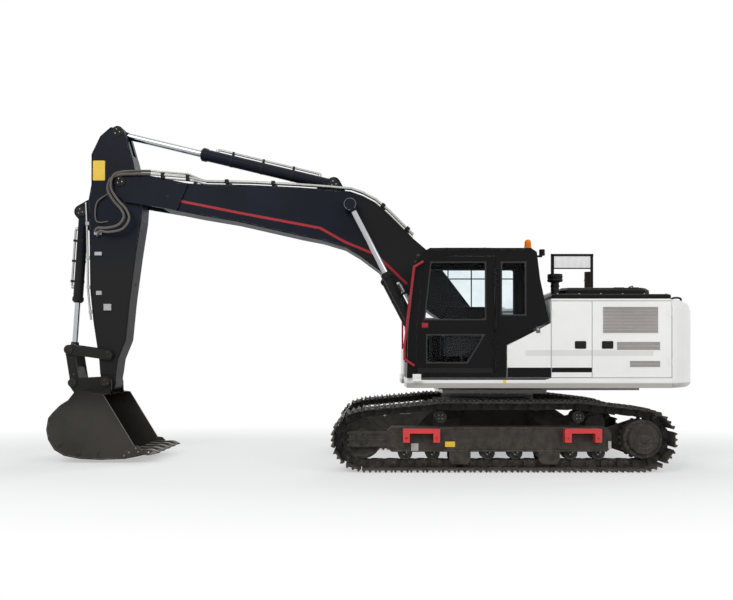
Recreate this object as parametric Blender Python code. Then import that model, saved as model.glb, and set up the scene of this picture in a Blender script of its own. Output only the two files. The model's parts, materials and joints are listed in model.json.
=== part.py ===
"""Crawler excavator of the 21 to 22 tonne class, parked with its bucket low in front.

Metres, +Z up. The machine faces -X and its left side, with the cab, is -Y. Heights count
from the ground. Fore and aft places count from the slewing axis, which stands SLEW_X
behind the origin, so the origin is the middle of the machine's footprint box.
"""

import math

import bmesh
import bpy
from mathutils import Matrix, Vector

# Whole machine
SLEW_X = 1.70
GAP = 0.0003
RUN_GAP = 0.0006
PLAY = 0.006
SINK = 0.0015
OVERRUN = 0.05
ROUND = 24
PLAIN = 16
SIDES = (("left", -1), ("right", 1))

# Tracks
TUMBLER_SPAN = 3.65
TRACK_RADIUS = 0.415
TRACK_HEIGHT = 0.93
TRACK_GAUGE = 2.39
TRACK_ARC = 14
TRACK_LEAN_DEG = 7.0
SHOE_WIDTH = 0.60
SHOE_DEPTH = 0.045
SHOE_COUNT = 46
LUG_HEIGHT = 0.026
LINK_DEPTH = 0.10
RAIL_IN = 0.045
RAIL_OUT = 0.095
CARRIER_FRONT = 0.80
CARRIER_REAR = 1.00

# Track frames, with their rollers and steps
FRAME_HALF = 0.15
FRAME_FRONT = 1.50
FRAME_REAR = 1.42
FRAME_LOW = 0.25
FRAME_HIGH = 0.565
FRAME_CHAMFER = 0.06
FORK_LENGTH = 0.50
FORK_LOW = 0.31
FORK_HIGH = 0.52
FORK_IN = 0.105
FORK_WALL = 0.04
ROLLER_COUNT = 8
ROLLER_RADIUS = 0.085
ROLLER_HALF = 0.11
ROLLER_RUN = 2.52
CARRIER_RADIUS = 0.075
CARRIER_SAG = 0.007
CARRIER_STAND = 0.07
IDLER_HALF = 0.085
AXLE_RADIUS = 0.06
SPROCKET_HALF = 0.035
SPROCKET_TEETH = 21
TOOTH_DEPTH = 0.04
DRIVE_RADIUS = 0.255
DRIVE_OUT = 0.15
DRIVE_CAP_RADIUS = 0.20
DRIVE_CAP_OUT = 0.19
DRIVE_NECK_RADIUS = 0.19
DRIVE_NECK_IN = 0.30
MOTOR_RADIUS = 0.14
MOTOR_IN = 0.37
BRACKET_RADIUS = 0.245
STEP_LENGTH = 0.47
STEP_REACH = 0.265
STEP_BAR = 0.05
STEP_LEG = 0.08
STEP_LOW = 0.385
STEP_HIGH = 0.552
STEP_FRONT = 1.055
STEP_REAR = 1.026

# Centre frame and slewing ring
CARBODY_HALF_LENGTH = 0.75
CARBODY_HALF_WIDTH = 0.72
CARBODY_LOW = 0.47
CARBODY_HIGH = 0.86
LEG_ROOT_Y = 0.50
LEG_ROOT_IN = 0.28
LEG_ROOT_OUT = 0.72
LEG_TIP_IN = 0.62
LEG_TIP_OUT = 1.12
LEG_TIP_LOW = 0.31
LEG_TIP_HIGH = 0.55
RING_RADIUS = 0.66
RING_BORE = 0.50
RING_HEIGHT = 0.12

# Upper frame
DECK_HALF = 1.37
DECK_LOW = 1.08
DECK_HIGH = 1.21
DECK_PLATE = 0.03
DECK_FRONT = 1.24
DECK_CORNER = 0.10
WELL_HALF = 0.465
WELL_BACK = 0.22
SKIRT = 0.08
GIRDER_IN = 0.245
GIRDER_OUT = 0.285
GIRDER_NOSE = 0.12
GIRDER_BOSS = 0.16
GIRDER_SHOULDER_X = 0.50
GIRDER_SHOULDER_Z = 1.40
BASE_HALF = 0.72
BASE_PLATE = 0.05

# Counterweight
TAIL_RADIUS = 2.85
WEIGHT_FRONT = 2.205
DECK_REAR = WEIGHT_FRONT - GAP
WEIGHT_LOW = 1.08
WEIGHT_WAIST = 1.12
WEIGHT_HIGH = 2.24
WEIGHT_HALF = 1.37
WEIGHT_BOW = 1.5
WEIGHT_EDGE = 0.12
WEIGHT_EDGE_SHARE = 0.3
WEIGHT_TUCK = 0.05
WEIGHT_STEPS = 9

# Cab
CAB_OUT = 1.36
CAB_IN = 0.47
CAB_WALL = 0.045
CAB_FLOOR = 1.2103
CAB_HEIGHT = 1.69
CAB_LENGTH = 1.85
CAB_FRONT = 1.24
DOOR_PLAY = 0.006
DOOR_WALL = 0.04
GLASS = 0.008
HINGE_OUT = 0.022
HINGE_RADIUS = 0.014
HINGE_PIN = 0.007
HINGE_HALF = 0.025
HINGE_TALL = 0.05
HINGE_LEVELS = (1.40, 1.66, 2.46, 2.60)
SCREEN_EDGE = 0.07

# Operator's place
MAT = 0.02
STATION_FRONT = -1.02
STATION_REAR = 0.0
STATION_HALF = 0.36
PEDESTAL_HALF = 0.17
PEDESTAL_HIGH = 0.30
SEAT_X = -0.32
SEAT_LONG = 0.48
SEAT_HALF = 0.23
SEAT_THICK = 0.11
SEAT_BACK = 0.72
SEAT_LEAN = 0.12
HEAD_HALF = 0.13
HEAD_HIGH = 0.18
CONSOLE_IN = 0.25
CONSOLE_OUT = 0.36
CONSOLE_LONG = 0.42
CONSOLE_SHORT = 0.14
CONSOLE_DEEP = 0.06
CONSOLE_HIGH = 0.20
STICK_RADIUS = 0.02
STICK_HIGH = 0.16
LEVER_RADIUS = 0.011
LEVER_HIGH = 0.62
PEDAL_BACK = 0.12
PEDAL_OUT = 0.08
PEDAL_HALF = 0.045
PEDAL_HIGH = 0.09

# Rails and roof fittings
RAIL_STAND = 0.035
RAIL_RADIUS = 0.016
REAR_LAMP_X = 0.580
REAR_LAMP_HALF = 0.036
REAR_LAMP_LOW = 1.63
REAR_LAMP_HIGH = 1.71
LAMP_ARM = 0.195
LAMP_ARM_THICK = 0.024
BEACON_X = 0.39
BEACON_IN = 0.30
BEACON_HIGH = 0.15
BEACON_RADIUS = 0.055

# Engine house and tanks
HOUSE_PLATE = 0.025
HOUSE_FRONT = 0.635
HOUSE_REAR = 2.185
PANEL = 0.04
BATTERY_FRONT = 0.058
COOLER_FRONT = 1.166
GRILLE_SLAT = 0.012
GRILLE_PITCH = 0.042
GRILLES = (
    # front, rear, low, high
    (1.306, 2.020, 1.795, 2.132),
    (1.488, 2.046, 1.574, 1.678),
    (1.656, 2.046, 1.353, 1.431),
)
HOOD_FRONT = 0.89
HOOD_REAR = 2.14
HOOD_HALF = 0.80
HOOD_HIGH = 2.44
HOOD_CURB = 0.04
POST_DEEP = 0.05
SHELF_DROP = 0.03
NOTCH_PLAY = 0.02
COVER_EDGE = 0.03
COVER_REAR = 2.235
COVER_HALF = 1.28
COVER_HIGH = 2.31

# Engine and what stands round it
ENGINE_FRONT = 1.22
ENGINE_REAR = 2.08
ENGINE_HALF = 0.36
ENGINE_HIGH = 2.02
ENGINE_PUMP_X = 1.65
ENGINE_PUMP_Z = 1.55
ENGINE_PUMP_OUT = 0.95
ENGINE_PUMP_RADIUS = 0.16
COOLER_OUT = 1.18
COOLER_IN = 0.92
COOLER_HIGH = 2.10
BATTERY_TRAY = 0.24
BATTERY_IN = 0.85
BATTERY_HALF = 0.09
BATTERY_HIGH = 0.24
FILTER_OUT = 0.98
FILTER_Z = 1.80
FILTER_LONG = 0.44
FILTER_RADIUS = 0.13

# Tanks along the right side, and what stands on top
TANK_IN = 0.50
TOOL_REAR = -0.60
TOOL_HIGH = 1.62
FUEL_REAR = 0.12
FUEL_HIGH = 2.05
SERVICE_FRONT = 1.19
SERVICE_REAR = 1.82
SERVICE_Y = 0.93
SERVICE_HIGH = 3.12
RIGHT_RAIL_HIGH = 2.12
EXHAUST_X = 1.79
EXHAUST_Y = 1.05
EXHAUST_RADIUS = 0.05
EXHAUST_FOOT_RADIUS = 0.07
EXHAUST_HIGH = 2.86
INTAKE_X = 0.78
INTAKE_Y = -0.95
INTAKE_RADIUS = 0.10
INTAKE_HIGH = 2.60

# Boom and its cylinders
BOOM_FOOT_X = 0.10
BOOM_FOOT_Z = 1.78
BOOM_LENGTH = 5.70
BOOM_DEG = 23.2
BOOM_HALF = 0.20
BOOM_PLATE = 0.022
BOOM_FOOT_HALF = 0.235
BOOM_FOOT_RADIUS = 0.15
BOOM_FORK = 0.72
BOOM_EAR_IN = 0.185
BOOM_EAR_OUT = 0.235
BOOM_EAR_RADIUS = 0.17
PIPE_RADIUS = 0.017
PIPE_STAND = 0.05
PIPE_ACROSS = 0.172
PIPE_CLAMP = 0.022
PIN_RADIUS = 0.045
PIN_CAP_RADIUS = 0.075
PIN_CAP = 0.018
PIN_END = 0.01
LIFT_FOOT_X = 0.74
LIFT_FOOT_Z = 1.22
LIFT_REACH = 2.68
LIFT_DEG = 21.4
LIFT_TRACK = 0.375
LIFT_BARREL = 1.63
LIFT_BARREL_RADIUS = 0.075
LIFT_ROD = 1.70
LIFT_ROD_RADIUS = 0.0425
LIFT_EYE = 0.045
LIFT_BOSS_RADIUS = 0.10

# Arm and its cylinder
ARM_LENGTH = 2.92
ARM_DEG = -86.0
ARM_HALF = 0.165
ARM_PLATE = 0.018
ARM_BOSS_HALF = 0.177
ARM_BOSS_RADIUS = 0.16
ARM_SLOT = 0.42
CROWD_FOOT_U = 2.86
CROWD_FOOT_V = 1.205
CROWD_EYE_UP = 0.735
CROWD_EYE_OUT = 0.113
CROWD_BARREL = 1.99
CROWD_BARREL_RADIUS = 0.085
CROWD_ROD = 1.95
CROWD_ROD_RADIUS = 0.05
CROWD_FOOT = 0.085
CROWD_EYE = 0.06
CROWD_CLEVIS = 0.092
HEAD_RADIUS = 0.085
ARM_SLOT_HALF = 0.07
CLEVIS_PLATE = 0.04
CLEVIS_RADIUS = 0.10

# Bucket, its links and its cylinder
TIP_HALF = 0.155
TIP_RADIUS = 0.12
DIG_FOOT_UP = 2.463
DIG_FOOT_OUT = 0.58
DIG_BARREL = 1.30
DIG_BARREL_RADIUS = 0.07
DIG_ROD = 1.45
DIG_ROD_RADIUS = 0.04
RAM_WALL = 0.035
DIG_EYE = 0.07
DIG_CLEVIS = 0.078
EYE_RADIUS = 0.085
TIPPING_PIVOT = 0.40
TIPPING_LENGTH = 0.58
TIPPING_DEG = 8.0
TIPPING_IN = 0.197
TIPPING_OUT = 0.225
TIPPING_RADIUS = 0.07
LINK_IN = 0.162
LINK_OUT = 0.190
LINK_RADIUS = 0.065
BUCKET_PINS = 0.47
BUCKET_EAR_IN = 0.235
BUCKET_EAR_OUT = 0.265
BUCKET_EAR_RADIUS = 0.09
BUCKET_HALF = 0.60
BUCKET_SHELL = 0.025
BUCKET_CHEEK = 0.03
BUCKET_SIZE = 1.30
TOOTH_COUNT = 5
TOOTH_HALF = 0.045
TOOTH_LENGTH = 0.26
TOOTH_THICK = 0.07
LIP_THICK = 0.045

# One shoe with its three lugs: share of its length, and share of the lugs' height
LUG_SHARES = ((0.06, 0.0), (0.12, 1.0), (0.18, 0.0), (0.43, 0.0), (0.47, 1.0),
              (0.55, 1.0), (0.59, 0.0), (0.82, 0.0), (0.88, 1.0), (0.94, 0.0))

# Outlines as shares of the boom's length: along it, and above its chord
BOOM_TOP_SHARES = ((0.215, 0.147), (0.263, 0.162), (0.303, 0.178), (0.343, 0.194),
                   (0.385, 0.207), (0.422, 0.210), (0.454, 0.208), (0.503, 0.192),
                   (0.575, 0.167), (0.694, 0.123), (0.802, 0.079))
BOOM_LOW_SHARES = ((0.780, 0.001), (0.690, 0.023), (0.603, 0.039),
                   (0.526, 0.053), (0.470, 0.065), (0.410, 0.072), (0.366, 0.066),
                   (0.292, 0.048), (0.219, 0.027), (0.146, 0.005))
BOOM_TIP_SHARES = (0.050, -0.019)
BOOM_CLAMP_SHARES = (0.285, 0.365, 0.640, 0.750)
BOOM_FORK_SHARES = ((0.840, 0.063), (0.894, 0.042), (0.954, 0.021), (0.969, -0.042),
                    (0.890, -0.022), (0.840, -0.011))
CROWD_FEET_SHARES = ((0.440, 0.185), (0.556, 0.150))

# Outlines as shares of the arm's length: down it from the boom's pin, and forward of it
ARM_FRONT_SHARES = ((-0.271, 0.075), (-0.223, 0.123), (-0.130, 0.160), (0.021, 0.150),
                    (0.110, 0.160), (0.238, 0.145), (0.546, 0.119), (0.694, 0.094),
                    (0.891, 0.050), (0.975, 0.038))
ARM_REAR_SHARES = ((0.985, -0.038), (0.880, -0.045), (0.782, -0.077), (0.582, -0.083),
                   (0.361, -0.097), (0.180, -0.112), (0.110, -0.112), (0.031, -0.090),
                   (-0.115, -0.049), (-0.232, -0.006), (-0.271, 0.017))
DIG_FEET_SHARES = ((0.070, 0.130), (0.270, 0.130))

# Bucket's side outline as shares of its size, back and down from its pin
BUCKET_SHARES = ((0.067, -0.123), (-0.231, -0.077), (-0.309, -0.177), (-0.395, -0.231),
                 (-0.471, -0.306), (-0.525, -0.371), (-0.546, -0.499), (-0.525, -0.607),
                 (-0.460, -0.715), (-0.352, -0.779), (-0.181, -0.812), (0.035, -0.822),
                 (0.304, -0.812), (0.465, -0.779))
BUCKET_MOUTH_SHARES = ((0.660, -0.757), (0.300, -0.142))
BUCKET_EAR_SHARES = ((0.062, -0.130), (-0.300, -0.180))
TOOTH_SHARES = ((-0.35, -0.45, 0.55, 0.8), (0.45, -0.45, 0.65, 1.0), (1.0, -0.1, 0.1, 0.7))
LIP_SHARES = ((-3.0, -0.03), (2.0, 1.0), (2.0, 1.5), (-3.0, 1.0))
LINK_SOLID_SHARE = 0.6
PIN_HEAD_SHARE = 0.8
RAM_COLLAR_SHARE = 0.25
RAM_NECK_SHARE = 0.9

# Cab's side outline as shares of its length and height, from its front foot
CAB_SHARES = ((0.000, 0.000), (0.008, 0.367), (0.065, 0.893), (0.105, 0.965),
              (0.162, 1.000), (0.870, 1.000), (0.912, 0.970), (0.935, 0.763),
              (0.998, 0.438), (0.700, 0.270), (0.697, 0.000))
DOOR_SHARES = ((0.070, 0.030), (0.070, 0.379), (0.122, 0.900), (0.140, 0.935),
               (0.616, 0.935), (0.616, 0.030))
DOOR_UPPER_SHARES = ((0.120, 0.444), (0.165, 0.895), (0.557, 0.895), (0.557, 0.444))
DOOR_LOWER_SHARES = ((0.135, 0.112), (0.135, 0.337), (0.551, 0.337), (0.427, 0.112))
QUARTER_SHARES = ((0.660, 0.479), (0.660, 0.895), (0.838, 0.895), (0.838, 0.479))
FLANK_SHARES = ((0.120, 0.400), (0.165, 0.895), (0.840, 0.895), (0.840, 0.400))
SCREEN_SHARES = (0.120, 0.367, 0.893)
REAR_GLASS_SHARES = (0.500, 0.740)
RAIL_TOP_SHARE = (0.110, 0.890)
RAIL_LOW_SHARE = (0.045, 0.100)
RAIL_SHARES = ((0.050, 0.850), (-0.018, 0.247), (-0.018, 0.145))
BEACON_TURN_SHARES = ((0.0, 1.0), (0.25, 1.0), (0.3, 0.85), (0.9, 0.75), (1.0, 0.5))

# Paint: colour, roughness, metallic
PAINTS = {
    "body white": ((0.82, 0.82, 0.79), 0.4, 0.0),
    "frame black": ((0.025, 0.027, 0.035), 0.5, 0.1),
    "cab black": ((0.018, 0.018, 0.02), 0.4, 0.1),
    "track brown": ((0.05, 0.045, 0.04), 0.8, 0.3),
    "frame brown": ((0.06, 0.055, 0.05), 0.7, 0.2),
    "digging steel": ((0.045, 0.038, 0.033), 0.6, 0.5),
    "chrome": ((0.75, 0.76, 0.78), 0.15, 1.0),
    "rail red": ((0.75, 0.06, 0.06), 0.45, 0.0),
    "glass": ((0.45, 0.52, 0.6), 0.05, 0.0),
    "amber": ((0.9, 0.35, 0.02), 0.25, 0.0),
    "seat cloth": ((0.04, 0.04, 0.045), 0.9, 0.0),
    "engine grey": ((0.25, 0.26, 0.28), 0.6, 0.4),
}


def clear_scene():
    for old in list(bpy.data.objects):
        bpy.data.objects.remove(old)


def make_paints():
    for name, (colour, roughness, metallic) in PAINTS.items():
        paint = bpy.data.materials.new(name)
        paint.use_nodes = True
        shader = paint.node_tree.nodes["Principled BSDF"]
        shader.inputs["Base Color"].default_value = (*colour, 1.0)
        shader.inputs["Roughness"].default_value = roughness
        shader.inputs["Metallic"].default_value = metallic


def along(pivot, degrees, u, v):
    """Place u along a member that rises by degrees towards the front, and v square to it."""
    lean = math.radians(degrees)
    x = pivot[0] - u * math.cos(lean) + v * math.sin(lean)
    z = pivot[1] + u * math.sin(lean) + v * math.cos(lean)
    return x, z


# Pins, as X and Z from the slewing axis
FOOT_PIN = (-BOOM_FOOT_X, BOOM_FOOT_Z)
ARM_PIN = along(FOOT_PIN, BOOM_DEG, BOOM_LENGTH, 0)
BUCKET_PIN = along(ARM_PIN, ARM_DEG, ARM_LENGTH, 0)
LIFT_PIN = (-LIFT_FOOT_X, LIFT_FOOT_Z)
LIFT_EYE_PIN = along(FOOT_PIN, BOOM_DEG + LIFT_DEG, LIFT_REACH, 0)
CROWD_PIN = along(FOOT_PIN, BOOM_DEG, CROWD_FOOT_U, CROWD_FOOT_V)
CROWD_EYE_PIN = along(ARM_PIN, ARM_DEG, -CROWD_EYE_UP, CROWD_EYE_OUT)
DIG_PIN = along(BUCKET_PIN, ARM_DEG, -DIG_FOOT_UP, DIG_FOOT_OUT)
TIPPING_PIN = along(ARM_PIN, ARM_DEG, ARM_LENGTH - TIPPING_PIVOT, 0)
LINK_PIN = along(TIPPING_PIN, TIPPING_DEG, TIPPING_LENGTH, 0)
EAR_PIN = along(BUCKET_PIN, 0, BUCKET_PINS, 0)


def between(a, b, share):
    return tuple(p + (q - p) * share for p, q in zip(a, b))


def circle(centre, radius, sides=ROUND):
    turn = 2 * math.pi / sides
    return [(centre[0] + radius * math.cos(i * turn), centre[1] + radius * math.sin(i * turn))
            for i in range(sides)]


def bore(radius, sides=ROUND):
    """Radius of a faceted hole that a round pin of this radius just clears."""
    return (radius + RUN_GAP) / math.cos(math.pi / sides)


def wrap(points):
    """Outline of a string drawn tight round the points."""
    points = sorted(set(points))

    def half(run):
        chain = []
        for point in run:
            while len(chain) > 1 and turn_of(chain[-2], chain[-1], point) <= 0:
                chain.pop()
            chain.append(point)
        return chain[:-1]

    return half(points) + half(points[::-1])


def turn_of(a, b, c):
    return (b[0] - a[0]) * (c[1] - a[1]) - (b[1] - a[1]) * (c[0] - a[0])


def inset(outline, depth):
    """The outline moved inward, edge by edge, by depth."""
    area = sum(a[0] * b[1] - b[0] * a[1] for a, b in zip(outline, outline[1:] + outline[:1]))
    inward = depth if area > 0 else -depth
    moved = []
    for i, here in enumerate(outline):
        before = Vector(outline[i - 1])
        after = Vector(outline[(i + 1) % len(outline)])
        first = (Vector(here) - before).normalized()
        second = (after - Vector(here)).normalized()
        normal = Vector((-first.y - second.y, first.x + second.x)).normalized()
        reach = inward / max(normal.dot(Vector((-first.y, first.x))), 0.5)
        moved.append((here[0] + normal.x * reach, here[1] + normal.y * reach))
    return moved


def placed(axis, a, b, c):
    """A point with a and b across the axis and c along it."""
    return {"X": (c, a, b), "Y": (a, c, b), "Z": (a, b, c)}[axis]


def finished(shape):
    shape.normal_update()
    bmesh.ops.recalc_face_normals(shape, faces=shape.faces)
    mesh = bpy.data.meshes.new("shape")
    shape.to_mesh(mesh)
    shape.free()
    return mesh


def loft(layers, axis="Z"):
    """A closed body through (level, outline) layers with as many points each."""
    shape = bmesh.new()
    rings = [[shape.verts.new(placed(axis, a, b, level)) for a, b in outline]
             for level, outline in layers]
    for lower, upper in zip(rings, rings[1:]):
        for i, start in enumerate(lower):
            j = (i + 1) % len(lower)
            shape.faces.new((start, lower[j], upper[j], upper[i]))
    shape.faces.new(rings[0])
    shape.faces.new(rings[-1])
    return finished(shape)


def prism(outline, low, high, axis="Y"):
    return loft(((low, outline), (high, outline)), axis)


def belt(loops, axis="Y"):
    """A closed belt whose cross-section runs through (level, outline) loops and back."""
    shape = bmesh.new()
    rings = [[shape.verts.new(placed(axis, a, b, level)) for a, b in outline]
             for level, outline in loops]
    for k, ring in enumerate(rings):
        following = rings[(k + 1) % len(rings)]
        for i, start in enumerate(ring):
            j = (i + 1) % len(ring)
            shape.faces.new((start, ring[j], following[j], following[i]))
    return finished(shape)


def band(outer, inner, low, high, axis="Y"):
    """A closed band between two loops with as many points each."""
    return belt(((low, outer), (high, outer), (high, inner), (low, inner)), axis)


def box(x, y, z):
    """A block between pairs of sizes along X, Y and Z."""
    (x0, x1), (y0, y1) = sorted(x), sorted(y)
    return prism([(x0, y0), (x1, y0), (x1, y1), (x0, y1)], min(z), max(z), "Z")


def drum(centre, radius, y0, y1, sides=ROUND):
    return prism(circle(centre, radius, sides), min(y0, y1), max(y0, y1))


def post(x, y, radius, z0, z1, sides=PLAIN):
    return prism(circle((x, y), radius, sides), z0, z1, "Z")


def bar(start, end, radius, sides=ROUND):
    """A round bar between two places in space."""
    start, end = Vector(start), Vector(end)
    shape = bmesh.new()
    length = (end - start).length
    bmesh.ops.create_cone(shape, cap_ends=True, segments=sides, radius1=radius,
                          radius2=radius, depth=length)
    turn = (end - start).to_track_quat("Z", "Y").to_matrix().to_4x4()
    shape.transform(Matrix.Translation((start + end) / 2) @ turn)
    return finished(shape)


def pipe_run(places, radius, sides=12):
    """A round pipe from place to place in space, mitred at each bend."""
    places = [Vector(place) for place in places]
    ways = [(b - a).normalized() for a, b in zip(places, places[1:])]
    across = ways[0].orthogonal().normalized()
    shape = bmesh.new()
    rings = []
    for i, place in enumerate(places):
        first, last = ways[max(i - 1, 0)], ways[min(i, len(ways) - 1)]
        mitre, up = (first + last).normalized(), first.cross(across)
        ring = []
        for k in range(sides):
            turn = 2 * math.pi * k / sides
            spoke = radius * (math.cos(turn) * across + math.sin(turn) * up)
            spoke -= first * (spoke.dot(mitre) / first.dot(mitre))
            ring.append(shape.verts.new(place + spoke))
        rings.append(ring)
        across = first.rotation_difference(last) @ across
    for lower, upper in zip(rings, rings[1:]):
        for k, start in enumerate(lower):
            following = (k + 1) % sides
            shape.faces.new((start, lower[following], upper[following], upper[k]))
    shape.faces.new(rings[0])
    shape.faces.new(rings[-1])
    return finished(shape)


def hull(points):
    shape = bmesh.new()
    for point in points:
        shape.verts.new(point)
    bmesh.ops.convex_hull(shape, input=shape.verts)
    return finished(shape)


def mirrored(mesh):
    """The same mesh on the machine's other side."""
    copy = mesh.copy()
    copy.transform(Matrix.Scale(-1, 4, (0, 1, 0)))
    copy.flip_normals()
    return copy


def both(mesh):
    return [mesh, mirrored(mesh)]


def fuse(solids, cuts=()):
    """One closed mesh: the solids joined, then the cuts taken away."""
    helpers = [bpy.data.objects.new("helper", mesh) for mesh in (*solids, *cuts)]
    for helper in helpers:
        bpy.context.scene.collection.objects.link(helper)
    base = helpers[0]
    for i, helper in enumerate(helpers[1:], 1):
        step = base.modifiers.new("step", "BOOLEAN")
        step.operation = "UNION" if i < len(solids) else "DIFFERENCE"
        step.object = helper
    bpy.context.view_layer.update()
    graph = bpy.context.evaluated_depsgraph_get()
    mesh = bpy.data.meshes.new_from_object(base.evaluated_get(graph))
    for helper in helpers:
        bpy.data.objects.remove(helper)
    return mesh


AXES = {}


def make_axis(body, parent, x, z, y=0):
    """An empty on the body's joint axis, carried by the parent's empty."""
    empty = bpy.data.objects.new(body + "_axis", None)
    bpy.context.scene.collection.objects.link(empty)
    home = Vector((x, y, z))
    if parent:
        empty.parent = AXES[parent][0]
        empty.location = home - AXES[parent][1]
    else:
        empty.location = home + Vector((SLEW_X, 0, 0))
    AXES[body] = (empty, home)


def add(name, body, paint, solids, cuts=()):
    """One named piece of the machine, with its origin on its body's axis."""
    mesh = fuse(solids, cuts)
    empty, home = AXES[body]
    mesh.transform(Matrix.Translation(-home))
    mesh.name = name
    mesh.materials.clear()
    mesh.materials.append(bpy.data.materials[paint])
    mesh.shade_smooth()
    mesh.set_sharp_from_angle(angle=math.radians(30))
    piece = bpy.data.objects.new(name, mesh)
    bpy.context.scene.collection.objects.link(piece)
    piece.parent = empty
    return piece


def track_loop(depth):
    """The track's outline, this deep under the tips of its lugs."""
    radius = TRACK_RADIUS - depth
    reach = TUMBLER_SPAN / 2
    swing = math.radians(180 - TRACK_LEAN_DEG)
    arc = [i * swing / TRACK_ARC for i in range(TRACK_ARC + 1)]
    rear = [(reach + radius * math.sin(a), TRACK_RADIUS - radius * math.cos(a)) for a in arc]
    front = [(-x, z) for x, z in reversed(rear)]
    top = TRACK_HEIGHT - depth
    return rear + [(CARRIER_REAR, top), (-CARRIER_FRONT, top)] + front


def chain_places(depth):
    """Where one link meets the next, this deep under the tips of the lugs."""
    pins, here = track_loop(SHOE_DEPTH + LINK_DEPTH / 2), track_loop(depth)
    steps = [math.dist(a, b) for a, b in zip(pins, pins[1:] + pins[:1])]
    pitch = sum(steps) / SHOE_COUNT
    places, run, i = [], 0, 0
    for link in range(SHOE_COUNT):
        while run + steps[i] < link * pitch:
            run += steps[i]
            i += 1
        places.append(between(here[i], here[(i + 1) % len(here)],
                              (link * pitch - run) / steps[i]))
    return places


def lugged(start, end):
    """Outline of one shoe's outer face, a flat plate with its lugs."""
    along_x, along_z = end[0] - start[0], end[1] - start[1]
    reach = LUG_HEIGHT / math.hypot(along_x, along_z)
    return [(start[0] + u * along_x + v * reach * along_z,
             start[1] + u * along_z - v * reach * along_x)
            for u, v in ((0, 0), *LUG_SHARES)]


def make_tracks():
    """Shoes with lugs round the two rails of links, as one closed belt."""
    half, deep = SHOE_WIDTH / 2, SHOE_DEPTH + LINK_DEPTH
    section = ((half, SHOE_DEPTH), (RAIL_OUT, SHOE_DEPTH), (RAIL_OUT, deep), (RAIL_IN, deep),
               (RAIL_IN, SHOE_DEPTH), (-RAIL_IN, SHOE_DEPTH), (-RAIL_IN, deep),
               (-RAIL_OUT, deep), (-RAIL_OUT, SHOE_DEPTH), (-half, SHOE_DEPTH))
    plates = chain_places(LUG_HEIGHT)
    shoes = [lugged(start, end) for start, end in zip(plates, plates[1:] + plates[:1])]
    for name, side in SIDES:
        middle = side * TRACK_GAUGE / 2
        shape = bmesh.new()
        rings = [[shape.verts.new((x, middle + across, z)) for x, z in chain_places(depth)]
                 for across, depth in section]
        edges = [[[shape.verts.new((x, middle + across, z)) for x, z in shoe] for shoe in shoes]
                 for across in (half, -half)]
        for i in range(SHOE_COUNT):
            j = (i + 1) % SHOE_COUNT
            for ring, inner in zip(rings, rings[1:]):
                shape.faces.new((ring[i], ring[j], inner[j], inner[i]))
            outer = [edge[i] + [edge[j][0]] for edge in edges]
            for k in range(len(outer[0]) - 1):
                shape.faces.new((outer[0][k], outer[0][k + 1], outer[1][k + 1], outer[1][k]))
            for edge, ring in zip(outer, (rings[0], rings[-1])):
                shape.faces.new((*edge, ring[j], ring[i]))
        add("track_" + name, "undercarriage", "track brown", [finished(shape)])


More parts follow.
